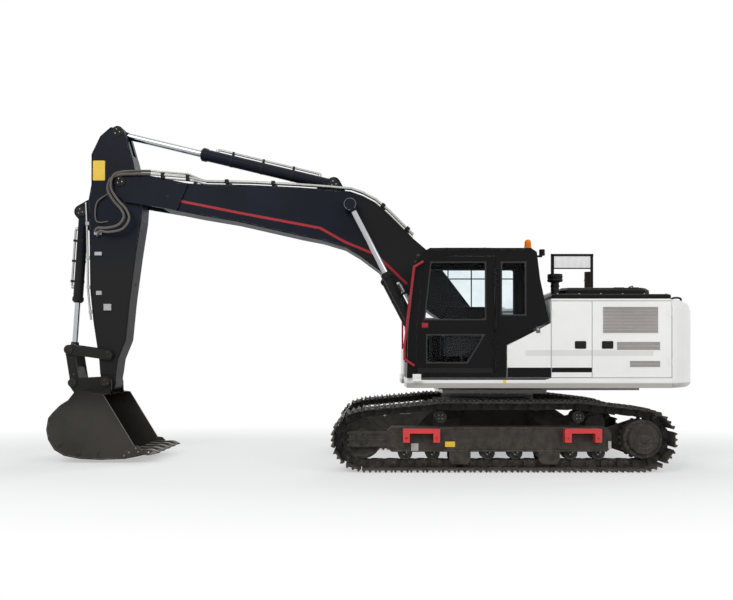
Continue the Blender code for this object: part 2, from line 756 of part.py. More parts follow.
def make_track_frames():
    reach = TUMBLER_SPAN / 2
    rail_z = SHOE_DEPTH + LINK_DEPTH
    for name, side in SIDES:
        middle = side * TRACK_GAUGE / 2

        def off(value):
            return middle + side * value

        beam = wrap([(-FRAME_FRONT, FRAME_LOW + FRAME_CHAMFER),
                     (-FRAME_FRONT + FRAME_CHAMFER, FRAME_LOW),
                     (FRAME_REAR - FRAME_CHAMFER, FRAME_LOW),
                     (FRAME_REAR, FRAME_LOW + FRAME_CHAMFER),
                     (FRAME_REAR, FRAME_HIGH - FRAME_CHAMFER),
                     (FRAME_REAR - FRAME_CHAMFER, FRAME_HIGH),
                     (-FRAME_FRONT + FRAME_CHAMFER, FRAME_HIGH),
                     (-FRAME_FRONT, FRAME_HIGH - FRAME_CHAMFER)])
        solids = [prism(beam, middle - FRAME_HALF, middle + FRAME_HALF)]
        for flank in (-1, 1):
            solids.append(box((-reach - FORK_LENGTH / 3, -reach + FORK_LENGTH),
                              (middle + flank * FORK_IN, middle + flank * (FORK_IN + FORK_WALL)),
                              (FORK_LOW, FORK_HIGH)))
        for i in range(ROLLER_COUNT):
            x = ROLLER_RUN * (i / (ROLLER_COUNT - 1) - 1 / 2)
            centre = (x, rail_z + ROLLER_RADIUS + GAP)
            solids.append(drum(centre, ROLLER_RADIUS, middle - ROLLER_HALF,
                               middle + ROLLER_HALF, PLAIN))
        for x in (-CARRIER_FRONT, CARRIER_REAR):
            centre_z = TRACK_HEIGHT - rail_z - CARRIER_RADIUS - CARRIER_SAG
            solids.append(drum((x, centre_z), CARRIER_RADIUS, middle - ROLLER_HALF,
                               middle + ROLLER_HALF, PLAIN))
            solids.append(box((x - CARRIER_STAND, x + CARRIER_STAND),
                              (off(-ROLLER_HALF + OVERRUN / 2), off(-FRAME_HALF)),
                              (FRAME_HIGH - OVERRUN, centre_z)))
        bracket = wrap(circle((reach, TRACK_RADIUS), BRACKET_RADIUS)
                       + [(FRAME_REAR - OVERRUN, FORK_LOW), (FRAME_REAR - OVERRUN, FORK_HIGH)])
        solids.append(prism(bracket, *sorted((off(-FORK_IN), off(-FORK_IN - FORK_WALL)))))
        for x in (-STEP_FRONT, STEP_REAR):
            left, right = x - STEP_LENGTH / 2, x + STEP_LENGTH / 2
            step = [(left, STEP_LOW), (left, STEP_HIGH), (right, STEP_HIGH),
                    (right, STEP_LOW), (right - STEP_LEG, STEP_LOW),
                    (right - STEP_LEG, STEP_HIGH - STEP_BAR),
                    (left + STEP_LEG, STEP_HIGH - STEP_BAR), (left + STEP_LEG, STEP_LOW)]
            solids.append(prism(step, *sorted((off(FRAME_HALF - SINK), off(STEP_REACH)))))
        neck = drum((reach, TRACK_RADIUS), DRIVE_NECK_RADIUS + RUN_GAP,
                    off(0), off(-DRIVE_NECK_IN))
        axle = drum((-reach, TRACK_RADIUS), bore(AXLE_RADIUS),
                    middle - FRAME_HALF * 2, middle + FRAME_HALF * 2)
        add("track_frame_" + name, "undercarriage", "frame brown", solids, [neck, axle])


def nearest(centre, loop):
    """The least distance from a centre to a closed loop's edges."""
    reaches = []
    for a, b in zip(loop, loop[1:] + loop[:1]):
        length = math.dist(a, b)
        share = ((centre[0] - a[0]) * (b[0] - a[0]) + (centre[1] - a[1]) * (b[1] - a[1]))
        share = min(max(share / length ** 2, 0), 1)
        reaches.append(math.dist(centre, between(a, b, share)))
    return min(reaches)


def make_tumblers():
    """Front idlers, and rear sprockets with their drives."""
    reach = TUMBLER_SPAN / 2
    rails = chain_places(SHOE_DEPTH + LINK_DEPTH)
    seat = nearest((reach, TRACK_RADIUS), rails) - GAP
    for name, side in SIDES:
        middle = side * TRACK_GAUGE / 2

        def off(value):
            return middle + side * value

        centre = (-reach, TRACK_RADIUS)
        axle_half = FORK_IN + FORK_WALL
        add("idler_" + name, "undercarriage", "frame brown",
            [drum(centre, seat, middle - IDLER_HALF, middle + IDLER_HALF),
             drum(centre, AXLE_RADIUS, middle - axle_half, middle + axle_half)])
        centre = (reach, TRACK_RADIUS)
        root = seat - TOOTH_DEPTH / 2
        teeth = []
        for i in range(SPROCKET_TEETH * 4):
            angle = i * math.pi / SPROCKET_TEETH / 2
            radius = root if i % 4 in (0, 3) else root + TOOTH_DEPTH
            teeth.append((centre[0] + radius * math.cos(angle),
                          centre[1] + radius * math.sin(angle)))
        add("sprocket_" + name, "undercarriage", "frame brown",
            [prism(teeth, middle - SPROCKET_HALF, middle + SPROCKET_HALF),
             drum(centre, DRIVE_RADIUS, off(0), off(DRIVE_OUT)),
             drum(centre, DRIVE_CAP_RADIUS, off(0), off(DRIVE_CAP_OUT)),
             drum(centre, DRIVE_NECK_RADIUS, off(0), off(-DRIVE_NECK_IN)),
             drum(centre, MOTOR_RADIUS, off(0), off(-MOTOR_IN))])


def make_carbody():
    tip = TRACK_GAUGE / 2 - FRAME_HALF - GAP
    solids = [box((-CARBODY_HALF_LENGTH, CARBODY_HALF_LENGTH),
                  (-CARBODY_HALF_WIDTH, CARBODY_HALF_WIDTH), (CARBODY_LOW, CARBODY_HIGH))]
    for end in (-1, 1):
        for side in (-1, 1):
            root = [(end * x, side * LEG_ROOT_Y, z) for x in (LEG_ROOT_IN, LEG_ROOT_OUT)
                    for z in (CARBODY_LOW + SINK, CARBODY_HIGH - SINK)]
            outer = [(end * x, side * tip, z) for x in (LEG_TIP_IN, LEG_TIP_OUT)
                     for z in (LEG_TIP_LOW, LEG_TIP_HIGH)]
            solids.append(hull(root + outer))
    add("carbody", "undercarriage", "frame brown", solids)
    low = CARBODY_HIGH + GAP
    add("slewing_ring", "undercarriage", "engine grey",
        [band(circle((0, 0), RING_RADIUS, ROUND), circle((0, 0), RING_BORE, ROUND),
              low, low + RING_HEIGHT, "Z")])


def deck_outline(depth):
    """Plan of the deck, open in front for the boom, this far inside its edge."""
    half, front, rear = DECK_HALF - depth, -DECK_FRONT + depth, DECK_REAR - depth
    well, back = WELL_HALF + depth, -WELL_BACK + depth
    corner = DECK_CORNER
    right = [(back, 0), (back, well), (front, well), (front, half - corner),
             (front + corner, half), (rear, half), (rear, 0)]
    left = [(x, -y) for x, y in reversed(right[1:-1])]
    return right + left


def make_swing_frame():
    ring_top = CARBODY_HIGH + RING_HEIGHT + GAP * 2
    base_top = ring_top + BASE_PLATE
    deck = deck_outline(0)
    solids = [prism(deck, DECK_HIGH - DECK_PLATE, DECK_HIGH, "Z"),
              band(deck, deck_outline(SKIRT), DECK_LOW, DECK_HIGH - DECK_PLATE / 2, "Z"),
              box((-BASE_HALF, BASE_HALF), (-BASE_HALF, BASE_HALF), (ring_top, base_top))]
    nose = circle(LIFT_PIN, GIRDER_NOSE, PLAIN)
    boss = circle(FOOT_PIN, GIRDER_BOSS, PLAIN)
    low = ring_top + BASE_PLATE / 2
    shoulder = (GIRDER_SHOULDER_X, GIRDER_SHOULDER_Z)
    base = [(-BASE_HALF, low), (GIRDER_SHOULDER_X, low)]
    tail_end = HOUSE_REAR - HOUSE_PLATE - PLAY
    tail = [(0, low), (0, GIRDER_SHOULDER_Z), shoulder,
            (tail_end, DECK_HIGH + DECK_PLATE), (tail_end, low)]
    for side in (-1, 1):
        span = sorted((side * GIRDER_IN, side * GIRDER_OUT))
        for outline in (wrap(nose + base), wrap(boss + base + [shoulder]), wrap(tail)):
            solids.append(prism(outline, *span))
    ends = GIRDER_OUT + PIN_END
    solids.append(drum(FOOT_PIN, PIN_RADIUS, -ends, ends))
    solids += both(drum(FOOT_PIN, PIN_CAP_RADIUS, GIRDER_OUT - SINK, GIRDER_OUT + PIN_CAP))
    cap_in = LIFT_TRACK + LIFT_EYE + PLAY
    solids += both(drum(LIFT_PIN, PIN_RADIUS, GIRDER_OUT - OVERRUN / 2, cap_in + PIN_CAP / 2))
    solids += both(drum(LIFT_PIN, PIN_CAP_RADIUS, cap_in, cap_in + PIN_CAP))
    solids += both(drum(LIFT_PIN, PIN_CAP_RADIUS, GIRDER_OUT - SINK,
                        LIFT_TRACK - LIFT_EYE - PLAY))
    add("swing_frame", "upper", "body white", solids)


def weight_outline(tuck):
    """Plan of the counterweight, a tail bowed from side to side and drawn in by tuck."""
    depth = TAIL_RADIUS - WEIGHT_FRONT - tuck
    half = WEIGHT_HALF - tuck / 2
    points = []
    for i in range(WEIGHT_STEPS * 2 + 1):
        angle = math.pi * (i / (WEIGHT_STEPS * 2) - 1 / 2)
        reach = depth * abs(math.cos(angle)) ** WEIGHT_BOW
        points.append((WEIGHT_FRONT + reach, half * math.sin(angle)))
    return points


def make_counterweight():
    edge_low = WEIGHT_EDGE * WEIGHT_EDGE_SHARE
    layers = ((WEIGHT_LOW, weight_outline(WEIGHT_TUCK)), (WEIGHT_WAIST, weight_outline(0)),
              (WEIGHT_HIGH - WEIGHT_EDGE, weight_outline(0)),
              (WEIGHT_HIGH - edge_low, weight_outline(edge_low)),
              (WEIGHT_HIGH, weight_outline(WEIGHT_EDGE)))
    add("counterweight", "upper", "body white", [loft(layers)])


def cab_place(share):
    """Place of a share pair on the cab's side."""
    return share[0] * CAB_LENGTH - CAB_FRONT, CAB_FLOOR + share[1] * CAB_HEIGHT


def on_cab(shares):
    return [cab_place(share) for share in shares]


def cab_front(height_share):
    """Foremost place of the cab's side outline at this share of its height."""
    for low, high in zip(CAB_SHARES, CAB_SHARES[1:]):
        if low[1] <= height_share <= high[1]:
            part = (height_share - low[1]) / (high[1] - low[1])
            return cab_place(between(low, high, part))
    return cab_place(CAB_SHARES[0])


def screen_outline(front, back, trim=0):
    """Side outline of a sheet that follows the cab's front, between two depths behind it."""
    low, *middle, high = SCREEN_SHARES
    trim = trim / CAB_HEIGHT
    run = [cab_front(share) for share in (low + trim, *middle, high - trim)]
    return ([(x + front, z) for x, z in run] + [(x + back, z) for x, z in reversed(run)])


def hinges(x, y, levels, leaf_x, frame_x):
    """Knuckles for a door's leaf, and pins with their tabs for its frame."""
    leaf, frame, holes = [], [], []
    for z in levels:
        leaf.append(post(x, y, HINGE_RADIUS, z - HINGE_HALF, z + HINGE_HALF))
        leaf.append(box((x, leaf_x), (y, -CAB_OUT + HINGE_RADIUS), (z - HINGE_HALF, z + HINGE_HALF)))
        holes.append(post(x, y, bore(HINGE_PIN, PLAIN), z - HINGE_TALL, z + HINGE_TALL))
        frame.append(post(x, y, HINGE_PIN, z - HINGE_TALL, z + HINGE_TALL))
        for end in (-1, 1):
            near, far = z + end * (HINGE_HALF + PLAY / 2), z + end * HINGE_TALL
            frame.append(post(x, y, HINGE_RADIUS, min(near, far), max(near, far)))
            frame.append(box((x, frame_x), (y, -CAB_OUT + HINGE_RADIUS), (near, far)))
    return leaf, frame, holes


def make_cab():
    outline = on_cab(CAB_SHARES)
    shell = prism(outline, -CAB_OUT, -CAB_IN)
    hollow = prism(inset(outline, CAB_WALL), -CAB_OUT + CAB_WALL, -CAB_IN - CAB_WALL)
    door = on_cab(DOOR_SHARES)
    quarter = on_cab(QUARTER_SHARES)
    flank = on_cab(FLANK_SHARES)
    screen_span = (-CAB_OUT + SCREEN_EDGE, -CAB_IN - SCREEN_EDGE)
    rear_low, rear_high = (cab_place((0, share))[1] for share in REAR_GLASS_SHARES)
    rear_box = ((BATTERY_FRONT + OVERRUN * 4, HOUSE_FRONT + OVERRUN),
                (-CAB_OUT + SCREEN_EDGE, -CAB_IN - SCREEN_EDGE))
    leaf, frame, holes = hinges(door[-1][0] + PLAY, -CAB_OUT - HINGE_OUT, HINGE_LEVELS,
                                door[-1][0] - HINGE_OUT, door[-1][0] + HINGE_OUT * 2)
    x, y = REAR_LAMP_X, -CAB_OUT + BEACON_IN
    frame.append(block((x - REAR_LAMP_HALF, x + REAR_LAMP_HALF),
                       (y - REAR_LAMP_HALF, y + REAR_LAMP_HALF),
                       (CAB_FLOOR + REAR_LAMP_LOW, CAB_FLOOR + REAR_LAMP_HIGH), MAT))
    frame.append(box((x - LAMP_ARM, x), (y - MAT, y + MAT),
                     (CAB_FLOOR + REAR_LAMP_LOW - LAMP_ARM_THICK + SINK,
                      CAB_FLOOR + REAR_LAMP_LOW + SINK)))
    add("cab_shell", "upper", "cab black", [shell, *frame],
        [hollow,
         prism(inset(door, -PLAY), -CAB_OUT - PIN_END, -CAB_OUT + CAB_WALL + OVERRUN),
         prism(quarter, -CAB_OUT - OVERRUN, -CAB_OUT + CAB_WALL + OVERRUN),
         prism(flank, -CAB_IN - CAB_WALL - OVERRUN, -CAB_IN + OVERRUN),
         prism(screen_outline(-OVERRUN, CAB_WALL + OVERRUN), *screen_span),
         box(*rear_box, (rear_low, rear_high))])

    def pane(name, body, outline, low, high):
        add(name, body, "glass", [prism(inset(outline, GAP), low, high)])

    half = GLASS / 2
    mid = -CAB_OUT + DOOR_WALL / 2
    door_glass = [on_cab(DOOR_UPPER_SHARES), on_cab(DOOR_LOWER_SHARES)]
    leaf_cuts = [prism(glass, -CAB_OUT - OVERRUN, -CAB_OUT + DOOR_WALL + OVERRUN)
                 for glass in door_glass]
    add("cab_door", "cab_door", "cab black",
        [prism(door, -CAB_OUT, -CAB_OUT + DOOR_WALL), *leaf], leaf_cuts + holes)
    pane("cab_door_upper_glass", "cab_door", door_glass[0], mid - half, mid + half)
    pane("cab_door_lower_glass", "cab_door", door_glass[1], mid - half, mid + half)
    pane("quarter_glass", "upper", quarter, mid - half, mid + half)
    mid = -CAB_IN - DOOR_WALL / 2
    pane("right_glass", "upper", flank, mid - half, mid + half)
    sheet = screen_outline(CAB_WALL / 2 - half, CAB_WALL / 2 + half, GAP)
    add("windscreen", "upper", "glass",
        [prism(sheet, screen_span[0] + GAP, screen_span[1] - GAP)])
    rear = [cab_place(share) for share in CAB_SHARES]
    lean_top, lean_low = rear[6], rear[7]
    back = []
    for z in (rear_low + GAP, rear_high - GAP):
        part = (z - lean_low[1]) / (lean_top[1] - lean_low[1])
        back.append((between(lean_low, lean_top, part)[0] - CAB_WALL / 2, z))
    rear_pane = ([(x - half, z) for x, z in back] + [(x + half, z) for x, z in reversed(back)])
    add("rear_glass", "upper", "glass",
        [prism(rear_pane, rear_box[1][0] + GAP, rear_box[1][1] - GAP)])


def block(x, y, z, corner, tuck=0.0):
    """A block with its upright edges cut off, and its top edge drawn in by tuck."""
    layers = []
    for level, depth in ((z[0], 0.0), (z[1] - tuck, 0.0), (z[1], tuck))[:3 if tuck else 2]:
        level = z[1] if not tuck and layers else level
        x0, x1, y0, y1 = x[0] + depth, x[1] - depth, min(y) + depth, max(y) - depth
        layers.append((level, [(x0 + corner, y0), (x1 - corner, y0), (x1, y0 + corner),
                               (x1, y1 - corner), (x1 - corner, y1), (x0 + corner, y1),
                               (x0, y1 - corner), (x0, y0 + corner)]))
    return loft(layers)


def make_station():
    """Seat, and the floor with its consoles and levers."""
    floor = CAB_FLOOR + CAB_WALL + GAP
    middle = -(CAB_OUT + CAB_IN) / 2
    top = floor + PEDESTAL_HIGH
    base = [box((STATION_FRONT, STATION_REAR), (middle - STATION_HALF, middle + STATION_HALF),
                (floor, floor + MAT)),
            block((SEAT_X - PEDESTAL_HALF, SEAT_X + PEDESTAL_HALF),
                  (middle - PEDESTAL_HALF, middle + PEDESTAL_HALF), (floor, top), MAT)]
    for side in (-1, 1):
        inner, outer = CONSOLE_IN, CONSOLE_OUT
        y = sorted((middle + side * inner, middle + side * outer))
        base.append(block((SEAT_X - CONSOLE_LONG, SEAT_X + CONSOLE_SHORT), y,
                          (top - CONSOLE_DEEP, top + CONSOLE_HIGH), MAT))
        base.append(box((SEAT_X - PEDESTAL_HALF / 2, SEAT_X + PEDESTAL_HALF / 2),
                        sorted((middle, middle + side * outer)),
                        (top - CONSOLE_DEEP, top - CONSOLE_DEEP / 2)))
        base.append(post(SEAT_X - CONSOLE_LONG + STICK_RADIUS * 3, (y[0] + y[1]) / 2,
                         STICK_RADIUS, top, top + CONSOLE_HIGH + STICK_HIGH))
        base.append(post(STATION_FRONT + PEDAL_BACK, middle + side * PEDAL_OUT, LEVER_RADIUS,
                         floor, floor + LEVER_HIGH))
        base.append(box((STATION_FRONT + PEDAL_BACK / 2, STATION_FRONT + PEDAL_BACK * 2),
                        (middle + side * PEDAL_OUT - PEDAL_HALF,
                         middle + side * PEDAL_OUT + PEDAL_HALF), (floor, floor + PEDAL_HIGH)))
    add("operator_station", "upper", "engine grey", base)
    cushion = top + GAP
    seat = [block((SEAT_X - SEAT_LONG / 2, SEAT_X + SEAT_LONG / 2),
                  (middle - SEAT_HALF, middle + SEAT_HALF),
                  (cushion, cushion + SEAT_THICK), MAT * 2, MAT)]
    rear = SEAT_X + SEAT_LONG / 2
    for low, high, half in ((cushion, cushion + SEAT_BACK, SEAT_HALF),
                            (cushion + SEAT_BACK - MAT, cushion + SEAT_BACK + HEAD_HIGH,
                             HEAD_HALF)):
        outline = []
        for z, ends in ((low, (-SEAT_THICK, 0)), (high, (0, -SEAT_THICK))):
            outline += [(rear + end + SEAT_LEAN * (z - cushion), z) for end in ends]
        seat.append(prism(outline, middle - half, middle + half))
    add("operator_seat", "upper", "seat cloth", seat)


def make_cab_fittings():
    side = -CAB_OUT - RAIL_STAND
    top, low = cab_place(RAIL_TOP_SHARE), cab_place(RAIL_LOW_SHARE)
    run = on_cab(RAIL_SHARES)
    places = ([(top[0], -CAB_OUT - GAP, top[1]), (top[0], side, top[1])]
              + [(x, side, z) for x, z in run]
              + [(low[0], side, low[1]), (low[0], -CAB_OUT - GAP, low[1])])
    add("cab_grab_rail", "upper", "rail red", [pipe_run(places, RAIL_RADIUS)])
    roof = CAB_FLOOR + CAB_HEIGHT + GAP
    x, y = BEACON_X, -CAB_OUT + BEACON_IN
    add("beacon", "upper", "amber",
        [loft([(roof + share * BEACON_HIGH, circle((x, y), BEACON_RADIUS * wide, PLAIN))
               for share, wide in BEACON_TURN_SHARES])])


def make_house():
    """The engine house's walls and top, with its front wall's notch for the girders."""
    floor = DECK_HIGH + GAP
    plate, top = HOUSE_PLATE, WEIGHT_HIGH
    post_y = CAB_OUT - PANEL - GAP
    inner = post_y - POST_DEEP
    front, rear = HOUSE_FRONT, HOUSE_REAR
    shelf_low, shelf_high = cab_place(CAB_SHARES[9]), cab_place(CAB_SHARES[8])
    drop = SHELF_DROP
    shelf = [(BATTERY_FRONT, shelf_low[1] - drop), (front + plate, shelf_high[1] - drop),
             (front + plate, shelf_high[1] - drop - plate),
             (BATTERY_FRONT, shelf_low[1] - drop - plate)]
    solids = [box((front, rear), (-CAB_OUT, CAB_OUT), (top - plate, top)),
              box((front, front + plate), (-post_y, post_y), (floor, top - plate / 2)),
              box((rear - plate, rear), (-post_y, post_y), (floor, top - plate / 2)),
              box((COOLER_FRONT - plate, COOLER_FRONT + plate), (-post_y, -inner),
                  (floor, top - plate / 2)),
              box((front, rear), (-post_y, -inner), (floor, floor + plate)),
              box((front, rear), (inner, post_y), (floor, floor + plate)),
              prism(shelf, -post_y, -CAB_IN - plate),
              box((BATTERY_FRONT, BATTERY_FRONT + plate), (-post_y, -CAB_IN - plate),
                  (floor, shelf_low[1] - drop - plate / 2)),
              box((BATTERY_FRONT, front + plate / 2), (-CAB_IN - plate * 2, -CAB_IN - plate),
                  (floor, shelf_low[1] - drop - plate / 2))]
    notch = box((front - OVERRUN, front + OVERRUN),
                (-GIRDER_OUT - NOTCH_PLAY, GIRDER_OUT + NOTCH_PLAY),
                (floor - OVERRUN, GIRDER_SHOULDER_Z + NOTCH_PLAY))
    hatch = box((HOOD_FRONT + HOOD_CURB, HOOD_REAR - HOOD_CURB),
                (-HOOD_HALF + HOOD_CURB, HOOD_HALF - HOOD_CURB), (top - OVERRUN, top + OVERRUN))
    tank = box((HOUSE_FRONT - OVERRUN, HOUSE_FRONT + plate / 2),
               (CAB_IN, CAB_OUT + OVERRUN), (top - OVERRUN, top + OVERRUN))
    add("engine_house", "upper", "body white", solids, [notch, hatch, tank])
    cover_low = top + GAP
    add("top_cover", "upper", "cab black",
        [block((front + COVER_EDGE, COVER_REAR), (-COVER_HALF, COVER_HALF),
               (cover_low, COVER_HIGH), COVER_EDGE, COVER_EDGE / 2)],
        [box((HOOD_FRONT + HOOD_CURB, HOOD_REAR - HOOD_CURB),
             (-HOOD_HALF + HOOD_CURB, HOOD_HALF - HOOD_CURB), (top - OVERRUN, top + OVERRUN * 2))])
    lid_low = COVER_HIGH + GAP
    lid = block((HOOD_FRONT, HOOD_REAR), (-HOOD_HALF, HOOD_HALF), (lid_low, HOOD_HIGH),
                HOOD_CURB * 2, HOOD_CURB)
    hollow = block((HOOD_FRONT + plate, HOOD_REAR - plate),
                   (-HOOD_HALF + plate, HOOD_HALF - plate),
                   (lid_low - OVERRUN, HOOD_HIGH - plate), HOOD_CURB * 2, HOOD_CURB)
    add("engine_hood", "engine_hood", "cab black", [lid], [hollow])


def make_doors():
    floor = DECK_HIGH + GAP + DOOR_PLAY
    top = WEIGHT_HIGH - HOUSE_PLATE - DOOR_PLAY
    shelf_low, shelf_high = cab_place(CAB_SHARES[9]), cab_place(CAB_SHARES[8])
    drop = SHELF_DROP + DOOR_PLAY
    play = DOOR_PLAY / 2
    slope = (shelf_high[1] - shelf_low[1]) / (shelf_high[0] - shelf_low[0])
    start, end = BATTERY_FRONT + play, HOUSE_FRONT - play
    rise = shelf_low[1] - drop
    battery = [(start, floor), (end, floor), (end, rise + slope * (end - start)), (start, rise)]
    outlines = {"battery_door": battery}
    for name, x0, x1 in (("filter_door", HOUSE_FRONT, COOLER_FRONT),
                         ("cooler_door", COOLER_FRONT, WEIGHT_FRONT - DOOR_PLAY)):
        outlines[name] = [(x0 + play, floor), (x1 - play, floor), (x1 - play, top),
                          (x0 + play, top)]
    y0, y1 = -CAB_OUT, -CAB_OUT + PANEL
    for name, outline in outlines.items():
        panel = prism(outline, y0, y1)
        if name == "cooler_door":
            holes, slats = [], []
            for x0, x1, low, high in GRILLES:
                holes.append(box((x0, x1), (y0 - OVERRUN, y1 + OVERRUN), (low, high)))
                count = round((high - low) / GRILLE_PITCH)
                for i in range(1, count):
                    z = low + (high - low) * i / count
                    slats.append(box((x0 - SINK, x1 + SINK),
                                 (y0 + GRILLE_SLAT / 2, y1 - GRILLE_SLAT / 2),
                                 (z - GRILLE_SLAT / 2, z + GRILLE_SLAT / 2)))
            panel = fuse([fuse([panel], holes), *slats])
        add(name, name, "body white", [panel])
    x0, x1 = HOUSE_FRONT + play, WEIGHT_FRONT - DOOR_PLAY * 3 / 2
    add("pump_door", "pump_door", "body white",
        [box((x0, x1), (CAB_OUT - PANEL, CAB_OUT), (floor, top))])


def make_power_pack():
    """Engine with its pump, cooler pack, batteries and air filter."""
    floor = DECK_HIGH + GAP
    add("engine_block", "upper", "engine grey",
        [block((ENGINE_FRONT, ENGINE_REAR), (-ENGINE_HALF, ENGINE_HALF),
               (GIRDER_SHOULDER_Z, ENGINE_HIGH), HOOD_CURB, HOOD_CURB),
         block((ENGINE_FRONT + PANEL, ENGINE_REAR - PANEL),
               (-GIRDER_IN + PLAY, GIRDER_IN - PLAY),
               (floor, GIRDER_SHOULDER_Z + PANEL), HOOD_CURB),
         bar((ENGINE_PUMP_X, ENGINE_HALF - OVERRUN, ENGINE_PUMP_Z),
             (ENGINE_PUMP_X, ENGINE_PUMP_OUT, ENGINE_PUMP_Z), ENGINE_PUMP_RADIUS)])
    add("cooler_pack", "upper", "cab black",
        [box((COOLER_FRONT + HOOD_CURB * 2, HOUSE_REAR - HOOD_CURB * 2),
             (-COOLER_OUT, -COOLER_IN), (floor, COOLER_HIGH))])
    x = (BATTERY_FRONT + HOUSE_FRONT) / 2
    batteries = [box((x - BATTERY_TRAY, x + BATTERY_TRAY), (-CAB_OUT + OVERRUN * 2, -BATTERY_IN),
                     (floor, floor + HOOD_CURB))]
    for side in (-1, 1):
        centre = x + side * BATTERY_TRAY / 2
        batteries.append(block((centre - BATTERY_HALF, centre + BATTERY_HALF),
                               (-CAB_OUT + OVERRUN * 3, -BATTERY_IN - OVERRUN),
                               (floor, floor + BATTERY_HIGH), GLASS))
    add("batteries", "upper", "cab black", batteries)
    x, y = (HOUSE_FRONT + COOLER_FRONT) / 2, -FILTER_OUT
    add("air_filter", "upper", "cab black",
        [bar((HOUSE_FRONT + HOUSE_PLATE + GAP, y, FILTER_Z),
             (HOUSE_FRONT + FILTER_LONG, y, FILTER_Z), FILTER_RADIUS)])


def make_tanks():
    """Tool box, fuel tank and hydraulic tank along the right side, from the front."""
    floor = DECK_HIGH + GAP
    for name, x0, x1, high, paint in (("tool_box", -DECK_FRONT + MAT, TOOL_REAR, TOOL_HIGH,
                                       "body white"),
                                      ("fuel_tank", TOOL_REAR, FUEL_REAR, FUEL_HIGH,
                                       "body white"),
                                      ("hydraulic_tank", FUEL_REAR, HOUSE_FRONT, WEIGHT_HIGH,
                                       "body white")):
        add(name, "upper", paint,
            [block((x0 + GAP, x1 - GAP), (TANK_IN, CAB_OUT), (floor, high), MAT, MAT)])
    low = WEIGHT_HIGH + GAP * 2 + (COVER_HIGH - WEIGHT_HIGH)
    x0, x1, y = SERVICE_FRONT, SERVICE_REAR, SERVICE_Y
    add("service_handrail", "upper", "frame black",
        [pipe_run([(x0, y, low), (x0, y, SERVICE_HIGH), (x1, y, SERVICE_HIGH), (x1, y, low)],
                  RAIL_RADIUS)])
    x, y, out = -DECK_FRONT + STEP_BAR, CAB_OUT + RAIL_STAND, CAB_OUT + GAP
    add("right_grab_rail", "upper", "rail red",
        [pipe_run([(x, out, DECK_HIGH + MAT * 2), (x, y, DECK_HIGH + MAT * 2),
                   (x, y, RIGHT_RAIL_HIGH), (TOOL_REAR + MAT * 2, y, RIGHT_RAIL_HIGH),
                   (TOOL_REAR + MAT * 2, out, RIGHT_RAIL_HIGH)], RAIL_RADIUS)])
    add("exhaust_stack", "upper", "cab black",
        [post(EXHAUST_X, EXHAUST_Y, EXHAUST_RADIUS, COVER_HIGH + GAP, EXHAUST_HIGH),
         post(EXHAUST_X, EXHAUST_Y, EXHAUST_FOOT_RADIUS, COVER_HIGH + GAP,
              COVER_HIGH + STEP_BAR)])
    add("air_intake", "upper", "cab black",
        [post(INTAKE_X, INTAKE_Y, INTAKE_RADIUS / 2, COVER_HIGH + GAP, INTAKE_HIGH),
         post(INTAKE_X, INTAKE_Y, INTAKE_RADIUS, INTAKE_HIGH - INTAKE_RADIUS, INTAKE_HIGH)])


def ram(foot, eye, y, halves, barrel, barrel_radius, rod, rod_radius):
    """A cylinder from its foot pin to its rod's eye, as barrel, barrel cuts and rod."""
    way = (Vector(eye) - Vector(foot)).normalized()

    def at(start, reach):
        return start[0] + way.x * reach, y, start[1] + way.y * reach

    half, eye_half = halves
    collar = barrel_radius * RAM_COLLAR_SHARE
    tube = [drum(foot, EYE_RADIUS, y - half, y + half),
            bar(at(foot, PIN_RADIUS * 3 / 2), at(foot, EYE_RADIUS * 2), half * RAM_NECK_SHARE),
            bar(at(foot, EYE_RADIUS), at(foot, barrel), barrel_radius),
            bar(at(foot, barrel - collar * 3), at(foot, barrel), barrel_radius + collar / 2)]
    cuts = [drum(foot, bore(PIN_RADIUS), y - half - OVERRUN, y + half + OVERRUN),
            bar(at(foot, EYE_RADIUS + RAM_WALL), at(foot, barrel + OVERRUN),
                rod_radius + RUN_GAP)]
    stem = [bar(at(eye, -rod), at(eye, 0), rod_radius),
            drum(eye, EYE_RADIUS, y - eye_half, y + eye_half)]
    return tube, cuts, stem


def make_rams():
    for name, side in SIDES:
        tube, cuts, stem = ram(LIFT_PIN, LIFT_EYE_PIN, side * LIFT_TRACK, (LIFT_EYE, LIFT_EYE), LIFT_BARREL,
                               LIFT_BARREL_RADIUS, LIFT_ROD, LIFT_ROD_RADIUS)
        add("boom_cylinder_barrel_" + name, "boom_cylinder_barrels", "frame black", tube, cuts)
        add("boom_cylinder_rod_" + name, "boom_cylinder_rods", "chrome", stem)
    tube, cuts, stem = ram(CROWD_PIN, CROWD_EYE_PIN, 0, (CROWD_FOOT, CROWD_EYE), CROWD_BARREL,
                           CROWD_BARREL_RADIUS, CROWD_ROD, CROWD_ROD_RADIUS)
    add("arm_cylinder_barrel", "arm_cylinder_barrel", "frame black", tube, cuts)
    add("arm_cylinder_rod", "arm_cylinder_rod", "chrome", stem)
    tube, cuts, stem = ram(DIG_PIN, LINK_PIN, 0, (DIG_EYE, DIG_EYE), DIG_BARREL, DIG_BARREL_RADIUS,
                           DIG_ROD, DIG_ROD_RADIUS)
    add("bucket_cylinder_barrel", "bucket_cylinder_barrel", "frame black", tube, cuts)
    pin = LINK_IN - PLAY
    add("bucket_cylinder_rod", "bucket_cylinder_rod", "chrome",
        stem + [drum(LINK_PIN, PIN_RADIUS, -pin, pin)])


def on_boom(shares):
    return [along(FOOT_PIN, BOOM_DEG, u * BOOM_LENGTH, v * BOOM_LENGTH) for u, v in shares]


def on_arm(shares):
    return [along(ARM_PIN, ARM_DEG, u * ARM_LENGTH, v * ARM_LENGTH) for u, v in shares]


